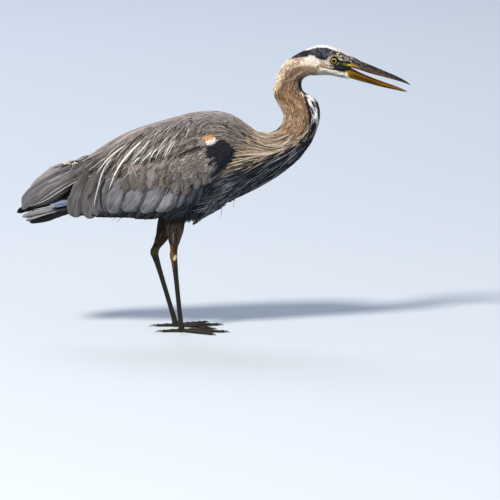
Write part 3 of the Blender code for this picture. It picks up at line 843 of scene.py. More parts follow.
def lie(points):
    """The direction in which feathers lie at points: down the neck and back along the body."""
    straight = turned(points, -1)
    x, y, z = straight[..., 0], straight[..., 1], straight[..., 2]
    place, front = body_place(straight)
    at = place / (len(BODY) - 1) * 180
    runs = [np.interp(at, np.arange(181), RUN[:, k]) for k in range(4)]
    back, fore = unit(np.stack(runs[:2], -1)), unit(np.stack(runs[2:], -1))
    flow = unit(back * (1 - front[:, None]) + fore * front[:, None])
    # Over the shoulders and flanks the long feathers turn down and back.
    drape = smooth(front, -0.03, 0.11) * smooth(-x, -25, 45) * (1 - smooth(-x, 230, 300))
    drape *= smooth(z, 395, 425) * (place < 8)
    flow = unit(flow + drape[:, None] * 1.6 * (SCAPULAR - flow))
    chest = smooth(front, 0.35, 0.7) * smooth(place, 6.5, 8.0) * (1 - smooth(place, 11, 12.5))
    flow = unit(flow + chest[:, None] * 0.8 * (np.array([-0.86, -0.51]) - flow))
    wing = wing_mask(straight)
    flow = unit(flow + wing[:, None] * (wing_lie(x, z) - flow))
    for side, line in LEG_LINES.items():
        sign = -1 if side == "right" else 1
        lower = (1 - smooth(z, 255, 275)) * (x < -60) * (x > -170) * (y * sign > 4)
        zs = np.array(line)[::-1, 1]
        run = np.gradient(np.array(line, float)[::-1, 0], zs)
        down = unit(np.stack([-np.interp(z, zs, run), -np.ones_like(z)], -1))
        flow = unit(flow + lower[:, None] * (down - flow))
    made = np.stack([flow[:, 0], np.zeros_like(x), flow[:, 1]], -1)
    # Turn the direction with the head.
    ahead = turned(straight + made)
    return unit(ahead - turned(straight))


WING_LIES = np.array(
    [
        (35, 435, -0.7, -0.7), (10, 430, -0.75, -0.65), (10, 400, -0.7, -0.72), (-30, 440, -0.9, -0.43),
        (-60, 405, -0.85, -0.52), (-40, 370, -0.55, -0.83), (-60, 340, -0.4, -0.92),
        (-95, 350, -0.45, -0.9), (-100, 300, -0.58, -0.82), (-130, 380, -0.75, -0.66),
        (-150, 330, -0.6, -0.8), (-150, 290, -0.62, -0.78), (-200, 370, -0.6, -0.8),
        (-220, 310, -0.7, -0.7), (-240, 380, -0.5, -0.87), (-290, 340, -0.4, -0.92),
        (-320, 300, -0.38, -0.92),
        (-60, 300, -0.7, -0.7), (-20, 340, -0.65, -0.76),
    ]
)


def wing_lie(x, z):
    weight = 1 / ((x[:, None] - WING_LIES[:, 0]) ** 2 + (z[:, None] - WING_LIES[:, 1]) ** 2 + 60) ** 1.5
    return unit((weight[..., None] * WING_LIES[:, 2:]).sum(1) / weight.sum(1)[:, None])


def walk(roots, lengths, count, heading, stray):
    """Centre lines that start at the roots and follow the lie of the coat over the form."""
    spot, normal = form.nearest(roots)
    path, normals = [spot], [normal]
    lean = chance.normal(0, 1, len(roots)) * stray
    for _ in range(count - 1):
        direction = heading(spot)
        across = np.cross(normal, direction)
        direction = unit(direction + across * lean[:, None])
        direction = unit(direction - normal * (direction * normal).sum(-1, keepdims=True))
        spot, normal = form.nearest(spot + direction * (lengths / (count - 1))[:, None])
        path.append(spot)
        normals.append(normal)
    return np.stack(path, 1), np.stack(normals, 1)


def unwrap(points):
    """Where points fall on a flat layout of the bird's skin, 0 to 1 each way."""
    straight = turned(points, -1)
    place, _ = body_place(straight)
    row = along(BODY, place)
    middle = (row[:, 1] + row[:, 3]) / 2
    angle = np.arctan2(straight[:, 1], straight[:, 2] - middle) / (2 * np.pi) + 0.5
    u, v = 0.01 + 0.97 * place / (len(BODY) - 1), 0.01 + 0.56 * angle
    wing = wing_mask(straight) > 0.5
    left = straight[:, 1] > 0
    wing_u = 0.01 + 0.47 * np.clip((straight[:, 0] + 400) / 450, 0, 1) + 0.5 * left
    wing_v = 0.62 + 0.36 * np.clip((straight[:, 2] - 250) / 230, 0, 1)
    return np.stack([np.where(wing, wing_u, u), np.where(wing, wing_v, v)], -1)


# --- feathers
SHAPES = {  # half width along the vane, root to tip, as shares of the widest
    "tuft": [0.45, 0.9, 1.0, 0.8, 0.35],
    "round": [0.3, 0.7, 0.95, 1.0, 0.98, 0.8, 0.42],
    "long": [0.35, 0.75, 0.95, 1.0, 0.97, 0.85, 0.6, 0.25],
    "plume": [0.5, 0.85, 1.0, 0.95, 0.8, 0.55, 0.2],
    "blade": [0.5, 0.8, 0.95, 1.0, 1.0, 0.95, 0.8, 0.45],
    "covert": [0.85, 0.95, 1.0, 1.0, 1.0, 1.0, 0.98],
    "oar": [0.3, 0.6, 0.8, 0.92, 1.0, 1.0, 0.95],
}


SMALL_PATCH = 0.003  # a small vane's share of the flat layout's width


def grid_homes(n):
    """One cell of the flat layout for each large vane, and the cell's size."""
    columns = math.ceil(math.sqrt(n * 2.0))
    lines = math.ceil(n / columns)
    i = np.arange(n)
    homes = np.stack([(i % columns + 0.5) / columns, (i // columns + 0.04) / lines], -1)
    return homes, np.array([0.9 / columns, 0.9 / lines])


def tube_faces(rings, k):
    """Triangles of rings of k points, closed at each end by the two points that follow them."""
    i, j = np.arange(rings - 1)[:, None], np.arange(k)
    after = (j + 1) % k
    a, b, c, d = i * k + j, i * k + after, (i + 1) * k + after, (i + 1) * k + j
    walls = [np.stack(corners, -1).reshape(-1, 3) for corners in ((a, b, c), (a, c, d))]
    last = (rings - 1) * k
    root = np.stack([after, j, np.full(k, rings * k)], -1)
    tip = np.stack([last + j, last + after, np.full(k, rings * k + 1)], -1)
    return np.concatenate([*walls, root, tip])


def vanes(name, slot_name, path, normals, width, colours, material, shape, sides, lift, crown=0.5,
          droop=0.12, shaft=0.0, fray=0.12, large=False, rise=1.5, nodes=()):
    """Closed thin vanes along centre lines, joined in one piece.

    path is N x R x 3, and normals may be fewer; width is each vane's half width; colours are N x 3, or
    N x R x 3 down the vane, or N x R x sides x 3 across it too. lift is how far root and tip
    stand off the form. Large vanes have cells of their own in the flat layout.
    """
    path, colours = np.asarray(path), np.asarray(colours)
    normals = unit(np.broadcast_to(np.asarray(normals, float), path.shape))
    n, r = path.shape[:2]
    width = np.broadcast_to(np.asarray(width, float), n)
    t = np.linspace(0, 1, r)
    if colours.ndim == 2:
        colours = np.repeat(colours[:, None], r, 1)
    rounded = shape in ("oar", "covert")
    if rounded:
        # Rings crowd towards a rounded end.
        t = 1 - (1 - t) ** 1.7
        low = np.minimum((t * (r - 1)).astype(int), r - 2)
        part = t * (r - 1) - low

        def again(values):
            share = part.reshape(1, r, *[1] * (values.ndim - 2))
            return values[:, low] * (1 - share) + values[:, low + 1] * share

        path, normals, colours = again(path), again(normals), again(colours)
    profile = np.interp(t[1:-1], np.linspace(0, 1, len(SHAPES[shape])), SHAPES[shape])[None]
    if rounded:
        length = np.linalg.norm(np.diff(path, axis=1), axis=2).sum(1)
        start = 1 - np.clip((0.95 if shape == "oar" else 1.7) * width / length, 0.02, 0.6)[:, None]
        profile = profile * np.sqrt(1 - np.clip((t[None, 1:-1] - start) / (1 - start), 0, 1) ** 2)
    tangent = unit(np.gradient(path, axis=1))
    across = unit(np.cross(tangent, normals))
    up = unit(np.cross(across, tangent))
    lift = np.broadcast_to(np.asarray(lift, float), (n, 2))
    height = lift[:, :1] * (1 - t) ** rise + lift[:, 1:] * (1 - (1 - t) ** rise)
    centre = path + up * height[..., None]
    inner, rings = slice(1, r - 1), r - 2
    half = width[:, None] * profile
    jag = 1 + fray * chance.normal(0, 1, (n, rings, 2)).clip(-2, 2)
    u = np.linspace(-1, 1, sides)
    reach = np.where(u < 0, jag[..., :1], jag[..., 1:]) * half[..., None] * u
    bow = -droop * np.abs(reach) * np.abs(u) + crown * (1 - u**2)
    if shaft:
        bow = bow + shaft * (np.abs(u) < 0.08) * (1 - 0.6 * t[1:-1])[None, :, None]
    ring = centre[:, inner, None] + across[:, inner, None] * reach[..., None]
    ring += up[:, inner, None] * bow[..., None]
    if sides > 3:
        belly = centre[:, inner] - up[:, inner] * 0.35
        ring = np.concatenate([ring, belly[:, :, None]], 2)
    k = ring.shape[2]
    points = np.concatenate([ring.reshape(n, -1, 3), centre[:, (0, -1)]], 1)
    firsts = np.arange(n) * points.shape[1]
    faces = (tube_faces(rings, k)[None] + firsts[:, None, None]).reshape(-1, 3)
    # Colours and maps.
    if colours.ndim == 3:
        colours = np.repeat(colours[:, :, None], sides, 2)
    middle = sides // 2
    painted, across_map = colours[:, inner], (u + 1) / 2
    # The point under the vane is painted 20% darker: painted shade on its underside.
    if sides > 3:
        painted = np.concatenate([painted, painted[:, :, middle : middle + 1] * 0.8], 2)
        across_map = np.append(across_map, 0.5)
    painted = np.concatenate([painted.reshape(n, -1, 3), colours[:, (0, -1), middle]], 1)
    vane_map = np.stack(np.broadcast_arrays(across_map, t[1:-1, None]), -1).reshape(-1, 2)
    vane_map = np.concatenate([vane_map, [(0.5, 0.0), (0.5, 1.0)]])
    homes, patch = grid_homes(n) if large else (unwrap(path[:, 0]), SMALL_PATCH)
    bake = homes[:, None] + (vane_map[None] - (0.5, 0.0)) * patch
    maps = [("OFBake", bake.reshape(-1, 2)), ("Vane", np.tile(vane_map, (n, 1)))]
    piece = mesh_piece(name, points.reshape(-1, 3), faces, material, painted.reshape(-1, 3), maps)
    coat_piece(piece, slot_name, *nodes)


def tones(path, spread=0.1, tip=1.0, root=0.85, warm=0.02, clumps=0.1, at=0.67, size=9.0):
    """Markings down each vane, with a little difference from feather to feather and in clumps."""
    n, r = path.shape[:2]
    middle = plumage(path[:, min(r - 1, int(at * r))])
    base = np.repeat(middle[:, None], r, 1)
    clump = ripple(path[:, 0], size, 4.0) + 0.6 * ripple(path[:, 0], 0.45 * size, 9.0)
    own = np.exp(chance.normal(0, spread, n) + clumps * clump)[:, None, None]
    tint = 1 + chance.normal(0, warm, (n, 1, 1)) * np.array([1.0, 0.0, -1.0])
    # Darker at the root, lighter at the tip: painted shade where roots lie under other feathers, and painted
    # light on the tips.
    run = np.linspace(root, tip, r)[None, :, None]
    return np.clip(base * own * tint * run, 0, 1)


def bare(points):
    """1 where the face has no feathers: round the eyes, on the lores and at the gape."""
    straight = turned(points, -1)
    x, z = straight[..., 0], straight[..., 2]
    ring = 1 - smooth(np.hypot(x - EYE_CENTRE[0], z - EYE_CENTRE[2]), 9.0, 10.5)
    lore = np.maximum(in_shape(x, z, LORE, 2), in_shape(x, z, GAPE, 2))
    mouth = smooth(x - 0.33 * (z - 610), 314.0, 315.2) * (z < 632)
    mouth = np.maximum(mouth, smooth(x + 0.15 * (z - 595), 306.0, 307.5) * (z < 606))
    return np.maximum(np.maximum(ring, lore), mouth)


def coat_piece(piece, slot_name, *replaced):
    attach(piece, "root")
    if replaced:
        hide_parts(*replaced)


middle_straight = turned(form.middle, -1)
place_all, front_all = body_place(middle_straight)
wing_all = wing_mask(middle_straight)
bare_all = bare(form.middle)
thigh_all = (form.middle[:, 2] < 262) & (form.middle[:, 0] < -55) & (form.middle[:, 0] > -175)


def small_coat(name, slot_name, region, count, spacing, length, width, rings, material, lift,
               spread=0.1, shape="tuft", stray=0.12, crown=0.45, tip=1.05, root=0.8, avoid=None, **tone):
    """Tufts over a region of the form, following its lie; length may be a function of the roots."""
    roots = form.scatter(count, region, spacing)
    long = length(roots) if callable(length) else np.full(len(roots), float(length))
    long = long * np.exp(chance.normal(0, 0.12, len(roots)))
    wide = width * np.exp(chance.normal(0, 0.12, len(roots)))
    path, normals = walk(roots, long, rings, lie, stray)
    keep = (bare(path[:, -1]) < 0.5) & clear_of(avoid, path[:, rings // 2 :])
    path, normals, wide = path[keep], normals[keep], wide[keep]
    colours = tones(path, spread, tip, root, **tone)
    vanes(name, slot_name, path, normals, wide, colours, material, shape, 3, lift, crown)


def clear_of(outline, path):
    """Which centre lines have no point inside an outline, seen from the side."""
    if outline is None:
        return np.ones(len(path), bool)
    inside = in_shape(path[..., 0].ravel(), path[..., 2].ravel(), outline, 2) >= 0.5
    return ~inside.reshape(path.shape[:2]).any(1)


def lifts(count, root, tip):
    """How far each vane's root and tip stand off the form; either may be one for each vane."""
    return np.stack([root + np.zeros(count), tip + np.zeros(count)], -1)


def strands(name, slot_name, roots, lengths, widths, colours, tip, root=-2.0, rings=9, heading=lie,
            stray=0.05, avoid=None, nodes=()):
    """Long loose strands over the coat, of one colour each, whose tips stand off by tip."""
    path, normals = walk(roots, lengths, rings, heading, stray)
    keep = clear_of(avoid, path[:, 1:])
    lift = lifts(len(path), root, tip)
    shade = np.linspace(0.85, 1.1, rings)[None, :, None]
    made = np.repeat(colours[:, None], rings, 1) * shade
    vanes(name, slot_name, path[keep], normals[keep], widths[keep], made[keep], plume_keratin, "plume", 3,
          lift[keep], 0.45, rise=2.0, nodes=nodes)


def draw(count, *choices):
    """Colours drawn at random from pairs of share and tone, each varied a little."""
    shares = np.array([share for share, _ in choices])
    pick = chance.choice(len(choices), count, p=shares / shares.sum())
    return tones_of([tone for _, tone in choices])[pick] * np.exp(chance.normal(0, 0.13, (count, 1)))


def tones_of(names):
    return np.array([linear(name) for name in names])


# Head: the shortest tufts, longer on the crown and nape.
head_zone = (place_all > 19.6) & (bare_all < 0.5)
small_coat(
    "coat_head", "head_plumage", head_zone.astype(float), 36000, 0.98,
    lambda p: (3.8 + 5.5 * smooth(p[:, 2], 640, 655) * smooth(-p[:, 0], -280, -262)
               + 4.5 * smooth(-p[:, 0], -238, -205)),
    0.72, 5, silky, (-1.5, 0.35), spread=0.13, crown=0.3, clumps=0.12, size=5.0, at=0.3,
)
# Upper and middle neck.
neck_zone = ((place_all > 11.3) & (place_all <= 19.8)).astype(float)
small_coat(
    "coat_neck", "neck_plumage", neck_zone, 26000, 1.6,
    lambda p: 9.0 + 8.0 * smooth(-p[:, 2], -540, -470), 1.0, 5, silky, (-2.8, 0.8), spread=0.17,
    clumps=0.2, size=7.0, tip=1.15, at=0.5,
)
MANTLE_FRONT = places("-90,525 58,494 78,476 74,460 62,440 47,425 38,408 20,380 8,362 -30,352 -90,352")
# Neck base and chest: a close coat, then long loose strands that keep the colour of their roots.
chest_zone = ((place_all > 6.2) & (place_all <= 12.2) & (wing_all < 0.5)) * smooth(
    form.middle[:, 0] + 0.45 * (470 - form.middle[:, 2]), 25, 70
)
small_coat(
    "coat_chest", "neck_plumage", chest_zone, 16000, 2.9,
    lambda p: 24.0 + 14.0 * smooth(-p[:, 2], -455, -380), 1.3, 7, plume_keratin,
    (-4.0, 0.3), spread=0.22, shape="plume", stray=0.05, tip=1.1, clumps=0.15, at=0.4,
    avoid=MANTLE_FRONT,
)


def chest_strands():
    roots = form.scatter(12000, chest_zone, 2.7)
    roots = roots[:3300]
    place, front = body_place(roots)
    n = len(roots)
    x, z = roots[:, 0] + chance.normal(0, 6, n), roots[:, 2] + chance.normal(0, 6, n)
    dark = in_shape(x, z, CHEST_DARK, 5)
    light = draw(n, (0.3, "9f8a74"), (0.34, "d8cab6"), (0.36, "271e18"))
    deep = draw(n, (0.58, "0d1014"), (0.2, "363d47"), (0.22, "8e9096"))
    colours = np.where(dark[:, None] > 0.5, deep, light)
    lengths = chance.uniform(44, 105, n) * np.interp(place, [9.5, 12.2], [1.0, 0.5])
    lengths = lengths * np.where((front > 0.6) & (dark < 0.5), 0.55, 1.0)
    tip = chance.uniform(0.8, 1.8, n)
    strands("chest_strands", "neck_plumage", roots, lengths, chance.uniform(0.45, 1.0, n), colours, tip,
            -3.0, rings=11, stray=0.03, avoid=MANTLE_FRONT)


def neck_strands():
    roots = form.scatter(16000, neck_zone * (place_all < 19), 2.4)
    n = len(roots)
    front = body_place(roots)[1]
    spread = chance.normal(0, 0.46, (n, 1)) * (1 - 0.7 * smooth(front, 0.7, 0.9))[:, None]
    colours = plumage(roots) * np.exp(spread)
    tip = chance.uniform(0.6, 1.2, n)
    strands("neck_strands", "neck_plumage", roots, chance.uniform(11, 20, n), chance.uniform(0.45, 0.8, n),
            colours, tip, rings=6, stray=0.14)


neck_strands()
chest_strands()
# Back, flanks and belly.
back_zone = ((place_all <= 9.8) & (wing_all < 0.5) & ~thigh_all) * 1.0
small_coat(
    "coat_back", "grey_plumage", back_zone, 26000, 3.0,
    lambda p: 22.0 + 10.0 * smooth(-p[:, 0], -40, 200), 1.4, 6, contour, (-5.0, 0.4), spread=0.16,
    shape="plume", tip=1.12, clumps=0.12, crown=0.25, stray=0.05, size=7.0,
)
# Wings: smooth lesser coverts.
wing_zone = (wing_all > 0.5) * smooth(form.middle[:, 2], 358, 376) * (
    1 - smooth(-form.middle[:, 0], 225, 250)
)
small_coat(
    "coat_wing", "grey_plumage", wing_zone, 14000, 3.2,
    15.0, 2.6, 6, contour, (-1.6, 0.2), spread=0.07, shape="tuft", stray=0.12, crown=0.12, tip=1.06,
    clumps=0.13, root=0.92, size=11.0,
)
# Thighs: short and close.
small_coat(
    "coat_thighs", "thigh_plumage", thigh_all * 1.0, 9000, 2.0, 11.0, 1.0, 5, contour, (-2.0, 0.4),
    spread=0.2, clumps=0.12,
)
# The black shoulder patch lies over the coat round it.
mid_x, mid_y, mid_z = form.middle.T
patch_zone = (np.abs(mid_y) > 32) * in_shape(mid_x + 4, mid_z + 6, SHOULDER_BLACK, 4)
small_coat(
    "coat_shoulder", "dark_plumage", patch_zone, 1500, 2.6, 17.0, 2.0, 6, contour, (-0.8, 1.5),
    spread=0.2, shape="plume", clumps=0.1, at=0.4, crown=0.3, tip=1.15,
)
# The bend of the wing: small bright feathers that stand over the black patch.
BEND = places("-32,440 -30,452 -12,461 4,458 8,448 2,441 -8,438 -20,438")
bend_zone = (np.abs(mid_y) > 40) * in_shape(mid_x, mid_z, BEND, 3)
small_coat(
    "coat_wing_bend", "grey_plumage", bend_zone, 900, 1.6, 6.0, 1.6, 6, contour, (0.3, 2.6),
    spread=0.04, shape="round", clumps=0.04, at=0.5, crown=0.2,
)


# --- wing feathers
def to_left(x, z):
    """Where a place on the right wing lies on the left one, whose rear is higher and longer."""
    back = np.clip((-193 - x) / 146, 0, None)
    along_right = np.interp(-x, [193, 244, 290, 322, 339], [350.5, 338, 321.5, 304, 298])
    reach = -193 - 200 * back
    along_left = np.interp(-reach, [193, 244, 296, 342, 365, 393], [356.5, 348, 340.5, 342.5, 346.5, 345])
    squeeze = np.interp(back, [0, 0.6, 1.0], [1.0, 0.8, 0.45])
    new_z = along_left + (z - along_right) * squeeze
    return np.where(x < -193, reach, x), np.where(x < -193, new_z, z)


def curve(points, count):
    """Evenly spaced points on a smooth curve through a few places."""
    dense = along(points, np.linspace(0, len(points) - 1, 12 * len(points)))
    gone = np.concatenate([[0], np.cumsum(np.linalg.norm(np.diff(dense, axis=0), axis=1))])
    at = np.linspace(0, gone[-1], count)
    return np.stack([np.interp(at, gone, dense[:, k]) for k in range(dense.shape[1])], -1)


def wing_paths(side, lines, count):
    """Centre lines on the outside of a folded wing, and normals; each line is a few x, z places."""
    made = []
    for line in lines:
        x, z = curve(line, count).T
        made.append(wing_surface(side, *to_left(x, z)) if side > 0 else wing_surface(side, x, z))
    return [np.array(part) for part in zip(*made)]


def shaded(names, rings, sides, edge=0, dark=0.5, start=0.35, edge_tone="2b2f36", rim=0.0,
           rim_tone="8a7565", gradient=0.0, tip=1.0, rim_from=0.72, mottle=0.06):
    """Colours across and down each vane: a dark strip along one edge, partly the darker web and partly
    painted shade where the next feather overlaps, and a pale or brown rim.

    names are tones or linear colours; edge is -1 or 1, the side that the strip is on.
    """
    base = tones_of(names) if isinstance(names[0], str) else np.array(names)
    n = len(base)
    u = np.linspace(-1, 1, sides)[None, None, :, None]
    t = np.linspace(0, 1, rings)[None, :, None, None]
    made = np.broadcast_to(base[:, None, None, :], (n, rings, sides, 3)).copy()
    made = made * (1 + gradient * (t - 0.5)) * np.exp(chance.normal(0, 0.05, (n, 1, 1, 1)))
    blots = chance.normal(0, 1, (n, rings + 2, sides, 1))
    made = made * np.exp(mottle * (blots[:, :-2] + blots[:, 1:-1] + blots[:, 2:]))
    made = made * (1 + (tip - 1) * smooth(t, 0.6, 1.0))
    # The dark strip: partly the feather's darker web, partly painted shade.
    strip = smooth(u * edge, start, start + 0.3) * dark if edge else 0 * u
    made = made + strip * (linear(edge_tone) - made)
    border = np.maximum(smooth(np.abs(u), rim_from, rim_from + 0.2), smooth(t, 0.93, 1.0))
    border = border * smooth(t, 0.25, 0.5) * rim
    made = made + border * (linear(rim_tone) - made)
    return np.clip(made, 0, 1)


# Greater coverts: tone, half width, front edge shade, places down the shaft.
GREATER = rows(
    "20262d 8 0.3 -30,352 -40,325 -50,302",
    "2d333a 8 0.4 -46,350 -58,320 -70,299",
    "54565a 7 0.7 -64,350 -76,318 -87,295",
    "4f5054 8 0.8 -80,350 -94,314 -112,286",
    "6b6a6c 11.5 0.35 -88,354 -106,318 -131,286",
    "706f71 12 0.35 -120,358 -137,320 -165,283",
    "69686b 13.5 0.35 -156,358 -177,320 -206,286",
    "666668 17 0.2 -196,360 -215,321 -239,281",
    "5d5d60 11 0.3 -226,362 -243,322 -258,284",
)
DARK_ROW = places(
    "-50,303 -62,293 -78,283 -96,275 -116,269 -138,266 -160,264 -182,265 -200,268 -218,275 -240,267 "
    "-254,267"
)
# Tertials: tone, half width, lift at root and tip, places.
TERTIALS = rows(
    "4b4949 22 -1.6 1.9 -262,404 -294,352 -312,310 -318,268",
    "525050 17.5 -2.6 -0.4 -236,400 -264,350 -280,308 -284,265",
    "555557 14 -2.8 -0.7 -218,396 -246,348 -263,308 -269,272",
    "606064 10 -3 -1.1 -204,392 -232,345 -252,308 -259,283",
)
# Median coverts, the row over the greater ones: tone, half width, places.
MEDIAN = rows(
    "6b6663 10.5 -24,392 -28,365 -26,342",
    "716c69 11 -38,388 -43,360 -41,332",
    "625e5a 11.5 -58,380 -66,347 -69,317",
    "75716e 10.5 -84,384 -88,352 -90,319",
    "655d55 10.5 -102,388 -111,362 -118,335",
    "6e6a66 13 -124,390 -136,360 -146,331",
    "5f5852 11 -148,384 -158,357 -166,327",
    "5d5650 11 -168,382 -177,354 -186,328",
    "5a534d 11.5 -188,380 -197,352 -204,324",
    "5c5651 11 -208,376 -218,352 -228,329",
    "58534f 9 -226,374 -236,352 -246,334",
)
# Painted shadow in the deep gaps between feathers, as near-black strips: tone, half width, places.
GAP_SHADOWS = rows(
    "0f1013 2.2 -68,350 -74,336 -81,322",
    "0f1013 2.8 -47,352 -56,334 -66,317",
    "0f1013 1.8 -104,373 -112,365 -122,354",
    "0f1013 1.7 -28,379 -32,372 -38,363",
    "0f1013 2 -99,348 -103,336 -112,322",
)


def wing_feathers(side):
    word = SIDES[side]
    # Dark secondaries at the low edge of the wing.
    lines = [place + [(52, 62), (24, 33), (0, 0)] for place in DARK_ROW]
    names = ["171c22"] * len(lines)
    colours = shaded(names, 18, 9, side, 0.6, 0.4, "0b0e12", 0.25, "4e5761", rim_from=0.86)
    vanes(f"secondaries_{word}", "dark_plumage", *wing_paths(side, lines, 18), 11.5, colours, vane_keratin,
          "long", 9, (-4.5, -2.4), 1.0, shaft=0.25, large=True)
    # Greater coverts, with their dark inner vanes showing between them, painted darker still as shade where
    # the feathers overlap.
    made = []
    for i, (name, half, shade, line) in enumerate(GREATER):
        if i:
            between = (line + GREATER[i - 1][-1]) / 2
            made.append(("484a50" if i % 2 else "3b3e44", 6.5, 0.2, (-4.6, -1.6), between))
        made.append((name, half * 1.46, shade, (-3.6, 0.1 + 0.05 * i), line))
    names, widths, shades, lift, lines = zip(*made)
    colours = [shaded([name], 20, 9, side, shade, 0.5, "24272d", 0.3, "88878a", 0.0, 0.6, 0.86, 0.12)
               for name, shade in zip(names, shades)]
    vanes(f"greater_coverts_{word}", "grey_plumage", *wing_paths(side, lines, 20), widths,
          np.concatenate(colours), vane_keratin, "covert", 9, lift, 0.35, shaft=0.1, large=True, fray=0.08)
    # Tertials, the long rounded feathers that close the wing behind; the longest lies lowest.
    names, widths, *lift, lines = zip(*TERTIALS)
    colours = shaded(names, 26, 11, side, 0.12, 0.5, "3a3838", 0.3, "3a322b", 0.12, rim_from=0.88,
                     mottle=0.15)
    pale = shaded(names, 26, 11, 0, rim=0.3, rim_tone="857b71", rim_from=0.86)
    colours = np.where(np.abs(np.linspace(-1, 1, 11))[None, None, :, None] > 0.95, pale, colours)
    vanes(f"tertials_{word}", "grey_plumage", *wing_paths(side, lines, 26), widths, colours, vane_keratin,
          "oar", 11, np.transpose(lift), 0.6, shaft=0.04, large=True, fray=0.04)
    # Median coverts.
    names, widths, lines = zip(*MEDIAN)
    lines = [line + (1.5, 7.0) for line in lines]
    front = smooth(np.array([line[2][0] for line in lines]), -150, -110)
    colours = [
        shaded([name], 14, 9, side, 0.2 + 0.3 * share, 0.3, "3b3633", 0.08, "8f867e", 0.1, 0.85, 0.84, 0.11)
        for name, share in zip(names, front)
    ]
    vanes(f"median_coverts_{word}", "grey_plumage", *wing_paths(side, lines, 14), 1.2 * np.array(widths),
          np.concatenate(colours), contour, "covert", 9,
          lifts(len(lines), -2.6, np.linspace(1.1, 0.8, len(lines))), 0.3, large=True)
    # Near-black strips in the gaps: painted shadow.
    names, widths, lines = zip(*GAP_SHADOWS)
    vanes(f"covert_gap_shadows_{word}", "dark_plumage", *wing_paths(side, lines, 8), widths, tones_of(names),
          contour, "plume", 3, (0.6, 1.3), 0.3, large=True)
    # Lesser coverts over the roots of the median ones, in ragged rows.
    lines, widths, colours = [], [], []
    base = np.array([line[2] for *_, line in MEDIAN])
    for row in range(2):
        count = 19 + 3 * row
        for i in range(count):
            place = (i + 0.5 * row + chance.normal(0, 0.2)) / count * (len(base) - 1)
            shift = 16 + row * 5.5 + chance.normal(0, 2), 44 + row * 11 + chance.normal(0, 3)
            tip = along(base, place) + shift
            run = wing_lie(*tip[:, None])[0] * (27 - 2.0 * row)
            lines.append([tip - run, tip - run / 2 + (0, 0.5), tip])
            widths.append((8.0 - row) * math.exp(chance.normal(0, 0.12)))
            colours.append(linear("7b736f") * math.exp(chance.normal(0, 0.05)))
    colours = shaded(colours, 8, 5, side, 0.15, 0.3, "57504c", 0.05, "8f8680", 0.1, mottle=0.02)
    vanes(f"lesser_coverts_{word}", "grey_plumage", *wing_paths(side, lines, 8), widths, colours, contour,
          "round", 5, (-1.8, 0.5), 0.3, fray=0.2)
    # Loose barbs over the coverts break their edges.
    lines = []
    for x in chance.uniform(-236, 18, 1000):
        low = np.interp(x, [-246, -186, -118, -69, -26, 18], [340, 334, 340, 324, 350, 384])
        start = np.array([x, chance.uniform(low + 8, np.interp(x, [-240, -60, 18], [398, 434, 430]))])
        run = wing_lie(*start[:, None])[0] + chance.normal(0, 0.1, 2)
        run = run * chance.uniform(9, 17)
        if in_shape(*start[:, None], SHOULDER_BLACK, 2)[0] < 0.5:
            lines.append([start, start + run / 2, start + run])
    n = len(lines)
    colours = draw(n, (0.5, "68615d"), (0.27, "857d78"), (0.23, "423c39"))
    vanes(f"wing_strands_{word}", "grey_plumage", *wing_paths(side, lines, 5), chance.uniform(0.5, 1.0, n),
          colours, contour, "plume", 3, (0.5, 1.8), 0.3)


for side in SIDES:
    wing_feathers(side)


# --- plumes
def drape_lines(side, lines, count, slant=0.158):
    """Centre lines laid over the form, and normals.

    The places are as seen from 9 degrees above, 50 out from the middle.
    """
    made = []
    for line in lines:
        line = np.array(line)
        x, z = curve(np.stack(to_left(*line.T), -1) if side > 0 else line, count).T
        out = np.full(count, 50.0)
        for _ in range(3):
            spots, up = form.sides(x, z - slant * (50 - out), side)
            out = np.abs(spots[:, 1])
        for _ in range(8):
            spots[1:-1] = (spots[:-2] + 2 * spots[1:-1] + spots[2:]) / 4
            up[1:-1] = unit(up[:-2] + up[1:-1] + up[2:])
        made.append((spots, up))
    return [np.array(part) for part in zip(*made)]


